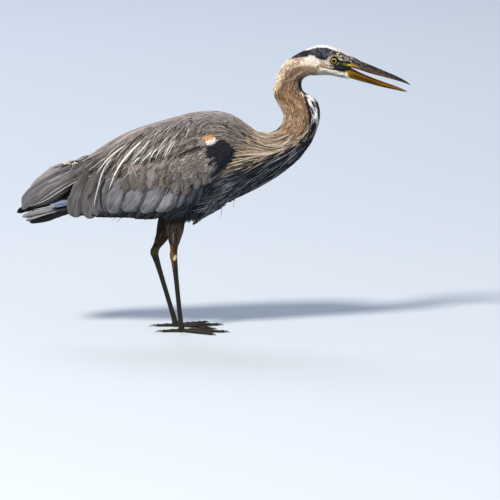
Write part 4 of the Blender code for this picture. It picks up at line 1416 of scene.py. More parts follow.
# Scapular plumes: tone, half width, lift at the tip, places.
PLUMES = rows(
    "dad8d5 1.7 3 -198,438 -212,428 -223,419 -233,411 -245,399 -257,383 -267,367 -274,353",
    "b9b5b1 0.9 2 -204,444 -215,436 -228,424 -240,412 -254,397 -266,380",
    "b3b1b2 2.3 4.2 -230,408 -243,393 -252,376 -258,357 -263,338 -268,320 -272,305 -273,292",
    "d6d4cf 2.6 3.8 -154,456 -167,442 -180,430 -192,416 -203,402 -214,389 -222,374 -228,360 -234,345 "
    "-239,331",
    # The next two near-black rows are painted shadows to the right of the two white plumes above them.
    "0f0f12 1.8 1.6 -176,424 -190,410 -200,397 -210,380 -218,363 -226,347 -231,336",
    "0b0d12 2.6 3.4 -232,386 -244,372 -252,352 -257,330 -259,308 -257,292 -251,279",
    "bcb8ad 2.2 2.3 -141,457 -147,448 -155,436 -166,422 -178,408 -186,398",
    "e0ded9 1.5 2.6 -170,410 -177,401 -185,391",
    "d7d4cf 1.5 2.6 -134,428 -148,414 -159,403 -168,390",
    "e0ddd8 1.4 2.5 -127,430 -136,420 -143,408 -148,398",
    "cfcbc6 1.1 2.4 -108,442 -118,430 -126,418 -131,407 -133,397",
    "dcd9d4 1.1 2.5 -86,452 -96,438 -105,425 -110,412 -109,404",
    "c9c5c0 0.9 2.4 -84,447 -94,433 -101,421 -107,409",
    "b7b1ab 0.9 2 -66,480 -78,466 -92,451 -106,437 -113,428",
    "bbb5af 0.9 2 -92,486 -105,475 -116,464 -128,453 -142,441",
    "b5afa9 0.8 1.9 -86,484 -100,472 -114,459 -126,447",
    "b4aea8 0.9 1.9 -120,471 -135,461 -149,449 -160,438",
    "aba19b 2.6 1.6 -140,481 -168,472 -190,462 -212,449 -232,436 -252,421",
    "b7b0aa 1.2 1.9 -182,462 -205,450 -230,433 -252,415",
    "191411 1.5 1.8 -158,467 -172,456 -185,444 -194,434 -198,424",
    "423b37 0.9 1.8 -94,489 -110,475 -122,464 -136,451",
    "463f3b 0.9 1.8 -70,470 -84,455 -96,443",
    "15110f 2.6 2.2 63,464 68,461 73,456",
    "131113 2 1.9 -136,412 -141,402 -149,389",
    "1c191a 1.4 1.8 -120,424 -128,410 -135,396",
    "2a2625 1.2 1.7 -112,424 -119,410 -124,399",
    "1a1818 1.6 1.9 -160,414 -168,402 -176,391",
    "252121 1.4 1.8 -148,408 -155,399 -161,390",
    "171415 1.6 1.7 -96,416 -102,405 -105,399",
    "1b1817 1.5 1.7 -84,414 -88,408 -90,403",
    # Near-black strands along the scapulars' edge: painted shadow on the wing.
    "0c0b0b 2.8 2.6 -28,432 -41,429 -53,423 -66,419 -74,414 -82,408",
    "bdb8b4 1.2 2.4 -252,424 -275,411 -296,396 -315,381 -332,367",
    "3a3431 1.1 1.9 -262,420 -284,405 -305,388 -322,374",
    "7d766f 2.6 1.8 -240,420 -264,405 -286,389 -304,375",
    "aaa59f 1.2 2.2 -228,420 -250,404 -270,388 -290,371 -306,359",
    "14110f 1.6 2.2 -272,386 -280,377 -286,369",
    "0f0e0d 1.4 2.2 -285,330 -283,322 -288,312",
    "b5b0aa 0.8 1.9 -190,396 -183,378 -173,360",
    "aaa59f 0.8 1.9 -196,388 -192,366 -189,350",
    "b0aba5 0.8 1.9 -180,388 -196,368 -222,344",
    "a8a39d 0.7 1.8 -168,388 -180,372 -196,352",
    "9d9892 0.7 1.8 -186,384 -178,366 -172,348",
)


def rear_y(x, z):
    """How far out the near flank of the rump, wing and tail lies, for the long rear feathers."""
    table = np.array(TAIL, float)[::-1]
    ridge, half, fall = (np.interp(x, table[:, 0], table[:, k]) for k in (1, 2, 3))
    share = np.clip((ridge - z) / (fall + half * TAIL_ROLL), 0, 1.1) ** 0.74
    return half * share


# Long feathers over the near side of the tail: tone/rim tone, half width, outward, places.
REAR = rows(
    # The first row is a near-black painted shadow under the tail's near edge; the second is the pale
    # undertail coverts, painted slate-blue as painted shade.
    "17181b/0b0c0e 6.5 -3.5 -330,337 -350,324 -376,308 -400,299 -424,292",
    "6a7890/4d5a70 8.5 -5 -330,306 -346,303 -362,300 -376,298",
    "403d3f/aaa6a2 10.5 -0.6 -280,374 -310,361 -345,342 -365,329 -385,317 -405,307 -420,301 -438,293",
    "454244/86827f 12 0.4 -318,368 -351,349 -376,333 -396,319 -411,309 -435,298",
    "4e4b4e/6b686b 10 1 -330,362 -365,346 -392,331 -414,316 -430,302",
    "65656f/65656f 4.6 2 -345,352 -366,345 -386,334 -406,316",
    "8e8c8e/a5a3a3 2.6 -1 -362,296 -380,294 -398,288 -414,284",
)


def plumes(side):
    word = SIDES[side]
    # Long loose strands from the shoulders, drooping over the top of the wing.
    count = 900
    x = chance.uniform(-236, -20, count)
    top = np.interp(x, BODY[:9, 0], BODY[:9, 1])
    z = np.maximum(top - 6 - 56 * chance.random(count) ** 0.9, 436 + 0.16 * (x + 60))
    spots, _ = form.sides(x, z, side)
    lengths = chance.uniform(26, 58, count) * np.interp(x, [-230, -160, -90, -20], [1.6, 1.25, 0.9, 0.45])
    kind = smooth(-z, -470, -435)
    soft = draw(count, (0.6, "746b66"), (0.16, "958d87"), (0.24, "463f3b"))
    bold = draw(count, (0.46, "635c57"), (0.2, "b5b1ab"), (0.34, "1f1b19"))
    colours = np.where((chance.random(count) < kind * 0.8)[:, None], bold, soft)
    tip = 0.8 + 0.9 * chance.random(count)
    strands(f"scapular_strands_{word}", "grey_plumage", spots, lengths, chance.uniform(0.6, 1.3, count),
            colours, tip, -2.5, rings=10, avoid=SHOULDER_BLACK)
    # The plumes that stand out, pale and dark.
    names, half, height, lines = zip(*PLUMES)
    paths = drape_lines(side, lines, 24)
    left = [to_left(*line[-1])[1] if side > 0 else line[-1][1] for line in lines]
    tip = np.array(height) + 2.2 * (np.array(left) < 385)
    colours = shaded(names, 24, 5, side, 0.25, 0.4, "6e6b69")
    vanes(f"scapular_plumes_{word}", "grey_plumage", *paths, half, colours, plume_keratin, "plume", 5,
          lifts(len(lines), -0.5, tip), 0.7, large=True, rise=3.5, fray=0.08)
    # Fine pale and dark strands between them.
    lines = []
    for x in chance.uniform(-222, -50, 110):
        z = np.interp(x, [-240, -193, -147, -101, -55], [432, 460, 478, 491, 500]) - chance.uniform(6, 44)
        angle = math.radians(np.interp(x, [-220, -50], [40, 56]) + chance.normal(0, 4))
        length = chance.uniform(36, 78) * np.interp(x, [-220, -50], [1.15, 0.7])
        line = [(x, z)]
        for _ in range(5):
            x, z = x - math.cos(angle) * length / 5, z - math.sin(angle) * length / 5
            angle += math.radians(4.0)
            if z > np.interp(x, [-260, -190, -120, -60], [372, 384, 396, 414]):
                line.append((x, z))
        if len(line) > 2:
            lines.append(line)
    n = len(lines)
    paths = drape_lines(side, lines, 14)
    lift = lifts(n, -1.0, chance.uniform(1.6, 2.6, n))
    colours = draw(n, (0.4, "c9c4be"), (0.25, "a49d97"), (0.35, "1f1b19"))
    vanes(f"scapular_lines_{word}", "grey_plumage", *paths, chance.uniform(0.45, 0.95, n), colours,
          plume_keratin, "plume", 3, lift, 0.5, rise=3.0, fray=0.05)


for side in SIDES:
    plumes(side)


def mantle():
    """Fine hair-like strands over the back and shoulders."""
    x, z = form.middle[:, 0], form.middle[:, 2]
    zone = (place_all < 9.6) * (z > 425) * (wing_all < 0.5) * (x > -310)
    roots = form.scatter(9000, zone * 1.0, 3.0)
    n = len(roots)
    soft = draw(n, (0.5, "7b726d"), (0.25, "a1978f"), (0.25, "463e3a"))
    # Paler along the top of the back: painted highlight.
    high = 1 - smooth(body_place(roots)[1], 0.03, 0.12)[:, None]
    soft = soft + 0.4 * high * (linear("b9b4b8") - soft)
    tip = 0.3 + 0.8 * chance.random(n)
    lengths = chance.uniform(20, 40, n) * np.interp(roots[:, 0], [-300, -150, 60], [1.5, 1.2, 0.75])
    strands("mantle_strands", "grey_plumage", roots, lengths, chance.uniform(0.5, 1.0, n), soft, tip, rings=7,
            stray=0.04, avoid=SHOULDER_BLACK)


mantle()
# Black and white feathers of the foreneck: tone, half width, places.
FORENECK = rows(
    "0b0b0e 3 213,552 223,544 229,534 233,524 236,514",
    "0b0b0e 3.6 237,512 240,499 239,484",
    "2a2526 0.9 186,634 172,626 160,617 150,605 144,594",
    "0d0c0f 3.2 203,552 208,541 213,530 217,517 220,505 221,495 219,484",
    "120d0c 2.9 221,536 228,526 230,514",
    "1c130f 2.6 217,526 224,514 227,502",
    "1c1511 2.2 219,514 223,504 222,494",
    "f7f4f0 1.3 199,555 203,548 205,541",
    "fbf9f6 2.6 209,548 222,539 231,530",
    "fbf9f6 2.4 214,541 220,529 224,519",
    "fbf9f6 2.6 231,522 235,512 234,502 230,492",
    "c3bdbb 1.4 226,506 229,496 228,488",
    "9c9b98 1 242,490 240,478 236,466 229,452",
    "0e1014 2 235,492 232,478 226,463 216,448",
    "777a80 0.9 238,482 233,468 225,455 213,441",
    "121418 2 227,486 224,474 217,460 206,447 194,437",
    "8d7a66 0.9 222,484 217,470 208,456 196,444",
)


def foreneck_feathers(side):
    names, half, lines = zip(*FORENECK)
    vanes(f"foreneck_feathers_{SIDES[side]}", "neck_plumage", *drape_lines(side, lines, 14, 0.0), half,
          shaded(names, 14, 5), silky, "plume", 5, (0.2, 1.4), 0.4, large=True, fray=0.2)


for side in SIDES:
    foreneck_feathers(side)


# Thin pale edges: tone, half width, outward, places.
REAR_LINES = rows(
    "c9c4c0 0.9 2 -275,370 -305,357 -340,338 -380,313 -400,303 -415,298 -440,292",
    "bdb8b5 0.8 2.4 -330,352 -350,340 -370,328 -390,313 -405,303",
    "b9b4b2 0.8 2.4 -318,393 -330,375 -340,368 -352,362 -375,350 -395,335 -410,320",
    "b5b1af 0.8 2.2 -441,296 -436,305 -430,315 -422,327",
    "a8a5a5 1 2.4 -370,299 -388,294 -415,288",
    "b3b0b0 0.9 6 -362,285 -385,279 -408,271 -430,262",
    # A bluish streak: painted highlight along a feather.
    "7a7c8a 3.4 1.9 -345,366 -362,357 -380,346 -396,333",
    "0d0e10 1.2 2.6 -370,303 -357,308 -345,312",
)
# The far wing's long feathers above the tail: tone, half width, y, places.
FAR_SIDE = rows(
    "7d7a7c 12 23 -300,384 -335,379 -362,370 -385,353 -404,336 -418,322",
    "474548 9.5 19 -292,388 -318,380 -340,373 -358,362",
)


def straight_lines(starts, ends, count):
    """Straight centre lines from starts to ends."""
    t = np.linspace(0, 1, count)[None, :, None]
    return np.asarray(starts)[:, None] * (1 - t) + np.asarray(ends)[:, None] * t


FLANK_NORMAL = (-0.1, -1.0, 0.55)


def on_flank(line, out):
    """A centre line low on the near side of the rump and tail, that far outward."""
    x, z = curve(line, 24).T
    z = z - 3.2
    y = np.maximum(rear_y(x, z), np.interp(x, [-350, -315, -285], [0, 26, 40])) + out
    return np.stack([x, -y, z], -1)


def rear_feathers():
    # The far wing's long feathers, seen over the tail from the inner side.
    names, half, out, lines = zip(*FAR_SIDE)
    paths = [np.insert(curve(line, 24), 1, y, 1) for line, y in zip(lines, out)]
    colours = [shaded([name], 24, 11, rim=0.9, rim_tone="b39c8a", rim_from=0.8) for name in names]
    vanes("far_tertials", "grey_plumage", paths, (-0.1, -1.0, 0.5), half, np.concatenate(colours),
          vane_keratin, "oar", 11, (-1.0, 0.0), 1.0, shaft=0.15, large=True, fray=0.03)
    names, half, out, lines = zip(*REAR_LINES)
    paths = [on_flank(line, gap) for line, gap in zip(lines, out)]
    vanes("rear_edges", "tail_plumage", paths, FLANK_NORMAL, half, tones_of(names), plume_keratin, "plume", 3,
          (-0.5, 0.0), 0.4, large=True, fray=0.0)
    names, half, out, lines = zip(*REAR)
    paths = np.array([on_flank(line, gap + 1.0) for line, gap in zip(lines, out)])
    paths[:, 1:-1, 1] = (paths[:, :-2, 1] + 2 * paths[:, 1:-1, 1] + paths[:, 2:, 1]) / 4
    colours = [shaded([tone], 24, 11, rim=0.9, rim_tone=rim, rim_from=0.84)
               for tone, rim in (name.split("/") for name in names)]
    vanes("tail_side_feathers", "tail_plumage", paths, FLANK_NORMAL, half, np.concatenate(colours),
          vane_keratin, "long", 11, (-2.0, 0.0), 0.8, shaft=0.3, large=True, fray=0.03, rise=3.0)
    # Pale down under the tail, in shade.
    n = 90
    start = [chance.uniform(-318, -296, n), chance.uniform(-22, 22, n), chance.uniform(290, 326, n)]
    start = np.stack(start, -1)
    run = np.stack([chance.uniform(-54, -30, n), chance.normal(0, 2, n), chance.uniform(-22, -8, n)], -1)
    up = np.stack([np.zeros(n), np.where(start[:, 1] < 0, -1, 1), np.full(n, 0.2)], -1)
    width = chance.uniform(3.0, 5.0, n)
    colours = draw(n, (0.6, "66748c"), (0.4, "4b576d")) * np.where(start[:, 2:] > 308, 0.2, 1.0)
    vanes("undertail_coverts", "grey_plumage", straight_lines(start, start + run, 8), up[:, None], width,
          colours, contour, "round", 3, (0.0, 0.0), 0.6)
    # White-tipped bits on the rump.
    n = 9
    start = np.stack([np.linspace(-312, -338, n), chance.uniform(-6, 8, n), 384 + chance.normal(0, 1, n)], -1)
    run = np.stack([chance.uniform(-12, -6, n), chance.normal(0, 1, n), chance.uniform(3, 7, n)], -1)
    colours = draw(n, (0.8, "e2d6cf"), (0.2, "5b4a40"))
    vanes("rump_tips", "tail_plumage", straight_lines(start, start + run, 8), (0.0, -0.5, 1.0), 2.2, colours,
          contour, "round", 3, (0.0, 0.0))


def breast_strands():
    """Loose lanceolate plumes from the foot of the foreneck, gathered to a point below."""
    x, z = form.middle[:, 0], form.middle[:, 2]
    zone = (front_all > 0.45) * (x > -35) * (x < 150) * (wing_all < 0.5)
    roots = form.scatter(9000, zone * (z < 395), 2.8)
    roots = roots[:1300]
    n = len(roots)
    spread = chance.random(n)
    target = [-60 + 34 * spread, chance.normal(0, 5, n), 238 + 22 * spread + chance.normal(0, 2, n)]
    target = np.stack(target, -1)
    far = np.linalg.norm(target - roots, axis=1)
    colours = draw(n, (0.64, "0f1317"), (0.2, "2e343c"), (0.13, "8d8d8f"), (0.03, "7d7467"))
    grey = (roots[:, 0] < 20) & (chance.random(n) < 0.5)
    colours[grey] = linear("6f7573") * np.exp(chance.normal(0, 0.2, (int(grey.sum()), 1)))
    tip = chance.uniform(0.5, 1.8, n)
    lengths = np.minimum(far * chance.uniform(0.6, 0.93, n), 110)
    strands("breast_plume_strands", "dark_plumage", roots, lengths, chance.uniform(0.6, 1.3, n), colours, tip,
            -3.5, rings=11, heading=lambda points: unit(target - points), nodes=("breast_plumes",))


breast_strands()


def hanging(name, roots, ends, sag, width, tone):
    """Loose down and single hairs that hang free of the coat."""
    n = len(roots)
    t = np.linspace(0, 1, 7)[None, :, None]
    path = straight_lines(roots, ends, 7) + np.array([-1.0, 0, 0.4]) * (sag * t * (1 - t))
    up = np.stack([np.full(n, 0.3), np.sign(roots[:, 1]), np.zeros(n)], -1)
    colours = linear(tone) * np.exp(chance.normal(0, 0.2, (n, 1)))
    vanes(name, "dark_plumage", path, up[:, None], width, colours, plume_keratin, "plume", 3, (0.0, 0.0), 0.3)


def loose_down():
    # Dark fluff between the legs and the breast plumes.
    n = 420
    x, y = chance.uniform(-84, -34, n), chance.uniform(-36, 36, n)
    roots = np.stack([x, y, np.full(n, 284.0)], -1)
    run = [chance.uniform(-14, 2, n), chance.normal(0, 3, n), chance.uniform(-27, -14, n)]
    run[2] -= 8 * (np.abs(x + 56) < 11)
    hanging("belly_down", roots, roots + np.stack(run, -1), 3.0, chance.uniform(1.0, 2.3, n), "22262b")
    # A few single hairs along the chest and under the wing: where each starts, and how it hangs.
    x, z = places("52,318 40,312 22,300 2,288 -20,276 -48,262 -205,270 -228,274 -214,270 -275,270 -282,268 "
                  "70,328 95,342 118,358").T
    dx, dz = places("-8,-42 -18,-32 -6,-46 -22,-24 -26,-18 -16,-10 -18,-18 -5,-12 -20,-12 -4,-11 -8,-9 "
                    "-20,-24 -24,-20 -18,-16").T
    y = np.tile([-9.0, 9.0], 7) * np.where(x < -100, 5.0, 1.0)
    roots = np.stack([x, y, z + 3], -1)
    hanging("single_hairs", roots, roots + np.stack([dx, 0 * y, dz], -1), 4.0, 0.55, "23272c")


loose_down()


def cuffs(side):
    """Thigh feathers whose tips taper over the top of the bare shank."""
    word = SIDES[side]
    shank = points_of(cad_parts[f"shank_{word}"])
    line = np.array(LEG_LINES[word], float)[::-1]
    y = (shank[:, 1].min() + shank[:, 1].max()) / 2
    n = 320
    angle, root_z = chance.uniform(0, 2 * np.pi, n), chance.uniform(208, 232, n)
    length = chance.uniform(12, 30, n) * (0.7 if side < 0 else 1.0)
    out = np.stack([np.cos(angle), np.sin(angle), 0 * angle], -1)

    def middle(z):
        return np.stack([np.interp(z, line[:, 1], line[:, 0]), 0 * z + y, z], -1)

    path = straight_lines(form.nearest(middle(root_z) + out * 14)[0], middle(root_z - length) + out * 6.0, 6)
    colours = draw(n, (0.5, "20150e"), (0.3, "38261a"), (0.2, "4c331f"))
    vanes(f"thigh_cuff_{word}", "thigh_plumage", path, out[:, None], chance.uniform(0.8, 1.5, n), colours,
          contour, "plume", 3, (-0.5, 0.5), 0.3)


for side in SIDES:
    cuffs(side)


def thigh_strands():
    roots = form.scatter(1500, thigh_all * 1.0, 3.2)
    n = len(roots)
    colours = draw(n, (0.5, "3a2c23"), (0.34, "150d09"), (0.16, "75665a"))
    strands("thigh_strands", "thigh_plumage", roots, chance.uniform(14, 30, n), chance.uniform(0.4, 0.8, n),
            colours, 1.0, -1.0, rings=6, stray=0.1)


def breast_fan(name, n, low, high, drop, tone):
    """Part of the ragged blunt end of the breast plumes."""
    u = chance.uniform(low, high, n)
    z = np.interp(u, [0, 0.28, 1], [262, 252, 278])
    ends = np.stack([-60 + 55 * u, chance.normal(0, 7, n), z + chance.normal(0, 1.5, n) + drop], -1)
    roots = ends + np.stack([chance.uniform(22, 40, n), 0 * u, chance.uniform(17, 28, n)], -1)
    hanging(name, roots, ends, 2.0, chance.uniform(1.0, 2.0, n), tone)


thigh_strands()
breast_fan("breast_fan_dark", 130, 0.0, 1.0, 0.0, "1d2328")
breast_fan("breast_fan_grey", 60, 0.25, 0.95, 3.0, "7f8780")


# --- tail and wing tips
def tail_surface(place, v):
    """Points and normals on top of the tail fan, at places in TAIL and -1 to 1 across it."""

    def spot(place, v):
        row = along(TAIL, place)
        extra = np.minimum(place, 0)
        x, ridge, half, fall = (row[..., k] for k in range(4))
        x, ridge = x - extra * 27, ridge - extra * 13
        y = v * half
        z = ridge - fall * np.abs(v) ** 1.6 + y * TAIL_ROLL * np.clip(place, 0, 1)
        return np.stack([x + (z - ridge) * TAIL_SLANT, y, z], -1)

    here = spot(place, v)
    run = spot(place + 0.05, v) - spot(place - 0.05, v)
    span = spot(place, v + 0.02) - spot(place, v - 0.02)
    return here, unit(np.cross(span, run))


def tail_feathers():
    made, names, lift = [], [], []
    greys = ["47454a", "514f54", "57565c", "4c4a50", "5e5e65", "525054"]
    t = np.linspace(0, 1, 24)
    for i in range(12):
        v = -0.68 + 1.54 * i / 11
        place = -0.6 + (6.6 - 1.5 * v * v) * t
        made.append(tail_surface(place, v * (0.75 + 0.25 * t**0.8)))
        names.append(greys[min(i, 11 - i)])
        inner = 1 - abs(v)
        lift.append((-2.6 + 2.4 * inner, -2.2 + 2.6 * inner))
    colours = shaded(names, 24, 11, rim=0.8, rim_tone="8f8986", gradient=-0.1, rim_from=0.84)
    vanes("tail_feathers", "tail_plumage", *zip(*made), 11.0, colours, vane_keratin, "blade", 11, lift, 1.0,
          shaft=0.45, large=True, fray=0.04, droop=0.06, nodes=("tail",))
    # Tail coverts above and below.
    made = []
    for row in range(4):
        for i in range(9 - row % 2):
            v = -0.15 + 1.03 * (i + 0.5 * (row % 2)) / 8 + chance.normal(0, 0.02)
            first = -1.4 + 0.55 * (3 - row)
            place = np.linspace(first, first + 1.9 - 0.15 * abs(v), 12)
            made.append(tail_surface(place, np.full(12, v * 0.85)))
    colours = shaded(["555253"] * len(made), 12, 5, rim=0.3, rim_tone="a09892", gradient=0.2)
    vanes("tail_coverts", "tail_plumage", *zip(*made), 8.5, colours, vane_keratin, "round", 5,
          (-1.5, 1.6), 1.0)


tail_feathers()
rear_feathers()

# Wing tips: tone, half width, outward, places.
TIP_RIGHT = rows(
    "77757a 7.2 3 -330,285 -362,282 -388,280 -412,275 -441,266",
    "858387 3 2.2 -330,284 -362,281 -385,274 -410,266 -432,258",
    "040506 6.5 1.4 -300,290 -345,279 -385,269 -415,262 -432,257",
    "040506 7 0.7 -300,290 -345,277 -380,264 -410,256 -424,253",
    "040506 6.5 0 -300,290 -345,279 -370,267 -390,259 -406,254",
    "040506 6.5 -0.7 -300,291 -338,283 -360,272 -380,262 -392,258",
    "0a0c0f 6.5 -1.6 -300,296 -345,288 -385,279 -412,272 -436,264",
)
TIP_LEFT = rows(
    "030405 11 2 -300,297 -360,291 -405,285 -434,278 -454,268",
    "030405 8 1 -300,290 -345,283 -385,274 -414,266 -436,260",
    "040506 7 0 -300,290 -345,280 -378,268 -400,260 -415,255",
    "040506 7 -1 -300,290 -338,283 -362,273 -382,264 -394,260",
)


def wing_tip(side):
    word = SIDES[side]
    names, half, out, lines = zip(*(TIP_RIGHT if side < 0 else TIP_LEFT))
    names, half = np.array(names), np.array(half)
    x, z = np.array([curve(line, 24) for line in lines]).transpose(2, 0, 1)
    y = np.interp(x, [-430, -416, -388, -349, -313, -273, -238], [22, 24, 27.5, 32.5, 36.5, 40, 43])
    paths = np.stack([x, side * (y + np.array(out)[:, None]), z], -1)
    # The vanes darken where the tertials shade them.
    root = 1 - smooth(-x[..., None, None], 358, 374)
    pale = np.array([int(name, 16) > 0x700000 for name in names])
    for title, own, slot_name, material, rim, nodes in (
        ("wing_tip_feathers", ~pale, "dark_plumage", contour, 0.0, (f"primaries_{word}",)),
        ("wing_tip_edges", pale, "grey_plumage", vane_keratin, 0.25, ()),
    ):
        if own.any():
            colours = shaded(list(names[own]), 24, 9, side, 0.6, 0.3, "060708", rim, "a5a3a3", rim_from=0.84)
            colours = colours + root[own] * (linear("0b0d10") - colours)
            vanes(f"{title}_{word}", slot_name, paths[own], (-0.12, side, 0.18), half[own], colours, material,
                  "blade", 9, (-0.3, 0.3), 0.7, shaft=0.15, large=True, fray=0.04, nodes=nodes)


for side in SIDES:
    wing_tip(side)


# --- skin
def coat_depth(points):
    """How far the skin lies under the outside of the coat."""
    straight = turned(points, -1)
    place, _ = body_place(straight)
    depth = np.interp(place, [0, 6, 9, 12, 18, 20, 27], [5.5, 6.0, 5.2, 3.0, 2.6, 1.5, 1.3])
    wing = wing_mask(straight)
    depth = depth * (1 - wing) + 3.4 * wing
    thigh = (1 - smooth(points[:, 2], 250, 272)) * (points[:, 0] < -55) * (points[:, 0] > -175)
    depth = depth * (1 - thigh) + np.interp(points[:, 2], [200, 250], [1.2, 2.6]) * thigh
    return depth * (1 - bare(points))


def dress(piece, colours, material, slot_name, nodes):
    """Finishes a surface made from CAD nodes, which it replaces."""
    paint(piece.data, colours)
    piece.data.materials.append(material)
    piece.data.shade_smooth()
    coat_piece(piece, slot_name, *nodes)


def make_skin():
    base = Form("skin", FLESH, 3.1, 12)
    piece = base.piece
    bpy.context.tool_settings.mesh_select_mode = (False, False, True)
    # Finer faces over the head, and again round the eyes.
    for reach, first_x, cuts in ((1e9, 232, 2), (17.0, 262, 1)):
        x, _, z = turned(read(piece.data.polygons, "center") / MM, -1).T
        near = (x > first_x) & (z > 575) & (np.hypot(x - EYE_CENTRE[0], z - EYE_CENTRE[2]) < reach)
        edit(piece, bpy.ops.mesh.select_all, False, action="DESELECT")
        piece.data.polygons.foreach_set("select", near)
        edit(piece, bpy.ops.mesh.subdivide, False, number_cuts=cuts)
    points, normals = points_of(piece), normals_of(piece)
    depth = coat_depth(points)
    # In thin places the skin keeps to the middle.
    for i in np.nonzero(depth > 0.2)[0].tolist():
        start = points[i] - normals[i] * 0.4
        hit = base.tree.ray_cast(start.tolist(), (-normals[i]).tolist(), 40.0)
        if hit[3] is not None:
            depth[i] = min(depth[i], 0.33 * hit[3])
    points = points - normals * depth[:, None]
    # Round the eyes: sockets, lids, and a low brow; then the lores and the gape.
    x, y, z = turned(points, -1).T
    side, y = np.sign(y), np.abs(y)
    far = np.hypot(x - EYE_CENTRE[0], z - EYE_CENTRE[2])
    on_side = y > 6
    ball = EYE_CENTRE[1] + np.sqrt(np.maximum(EYE_RADIUS**2 - far**2, 0.0))
    socket = (1 - smooth(far, 6.9, 7.7)) * on_side
    y = y * (1 - socket) + (ball - 2.2) * socket
    y += on_side * (np.exp(-(((far - 8.3) / 0.75) ** 2)) - 0.45 * np.exp(-(((far - 10.0) / 0.6) ** 2)))
    for line, width, soft, height in (
        ("270,641 282,641 294,636 304,630", 3.0, 4.0, 0.9),
        ("294,624 304,619 313,615", 4.0, 6.0, -1.1),
        ("276,611 292,608 308,607", 0.8, 1.6, -0.9),
        ("276,613.5 292,611 308,610", 1.2, 1.6, 0.35),
    ):
        y += near_line(x, z, places(line), width, soft) * on_side * height
    points = turned(np.stack([x, side * y, z], -1))
    move_points(piece, points)
    # Under the coat the skin is painted 35% darker than the markings: painted shade in the gaps between
    # feathers.
    colours = plumage(points) * (1 - 0.35 * (1 - bare(points)[:, None]))
    x, _, z = turned(points, -1).T
    over(colours, 1 - smooth(np.hypot(x - EYE_CENTRE[0], z - EYE_CENTRE[2]), 9.0, 9.8), "1d211c")
    over(colours, smooth(x - 0.33 * (z - 610), 313.2, 314.2) * (z < 618), "2a1013")
    over(colours, smooth(x + 0.15 * (z - 595), 304.0, 305.5) * (1 - smooth(z, 603, 606)), "a08c12")
    dress(piece, colours, bird_skin, "grey_plumage", FLESH)


make_skin()


# --- eyes
def eye_material():
    """A wet eye: black pupil, yellow iris with fine spokes, dark rim, clear cornea gloss."""
    material, shader, node = new_material(
        "eye_cornea", 0.08, Roughness=0.12, IOR=1.38, Coat_Weight=0.05, Coat_Roughness=0.03)
    spots = node("ShaderNodeUVMap", uv_map="Iris")
    centred = node("ShaderNodeVectorMath", (0, spots), operation="SUBTRACT", in_1=(0.5, 0.5, 0.0))
    radius = node("ShaderNodeVectorMath", (0, centred), operation="LENGTH").outputs["Value"]
    split = node("ShaderNodeSeparateXYZ", (0, centred))
    angle = node("ShaderNodeMath", (0, split.outputs[1]), (1, split), operation="ARCTAN2")
    polar = node("ShaderNodeCombineXYZ", (0, angle), (1, radius))
    spokes = node("ShaderNodeTexNoise", ("Vector", polar), in_Scale=9.0, in_Detail=3.0)
    shifted = node("ShaderNodeMath", (0, spokes), (2, radius), operation="MULTIPLY_ADD", in_1=0.05)
    ramp = node("ShaderNodeValToRGB", ("Fac", shifted))
    stops = [(0.0, "020202"), (0.204, "020202"), (0.216, "3f3510"), (0.235, "8a7519"), (0.30, "a5912a"),
             (0.33, "6b5f1c"), (0.35, "121309"), (1.0, "0a0a08")]
    while len(ramp.color_ramp.elements) < len(stops):
        ramp.color_ramp.elements.new(0.5)
    for element, (place, name) in zip(ramp.color_ramp.elements, stops):
        element.position = place
        element.color = (*linear(name), 1.0)
    material.node_tree.links.new(ramp.outputs[0], shader.inputs["Base Color"])
    return material


wet_eye = eye_material()


def make_eye(side):
    word = SIDES[side]
    bpy.ops.mesh.primitive_uv_sphere_add(segments=56, ring_count=36, radius=EYE_RADIUS * MM)
    ball = bpy.context.view_layer.objects.active
    ball.name = f"eyeball_{word}"
    p = points_of(ball)
    # Poles look out of the head; the cornea bulges a little over the iris.
    p = np.stack([p[:, 0], side * p[:, 2], p[:, 1]], -1)
    out = p[:, 1] * side
    p[:, 1] += side * 0.7 * smooth(out, 7.4, 10.7)
    flat = p[:, (0, 2)].copy()
    p = p + np.array([EYE_CENTRE[0], side * EYE_CENTRE[1], EYE_CENTRE[2]])
    move_points(ball, turned(p))
    layer = ball.data.uv_layers.new(name="Iris")
    corners = np.empty(len(ball.data.loops), np.int32)
    ball.data.loops.foreach_get("vertex_index", corners)
    uv = 0.5 + flat / 20.0
    hidden = out < 0
    uv[hidden] = 0.5 + 0.49 * unit(flat[hidden] + 1e-6)
    layer.data.foreach_set("uv", uv[corners].astype(np.float32).ravel())
    edit(ball, bpy.ops.mesh.normals_make_consistent)
    ball.data.shade_smooth()
    ball.data.materials.append(wet_eye)
    coat_piece(ball, "eye", f"eye_{word}")


for side in SIDES:
    make_eye(side)


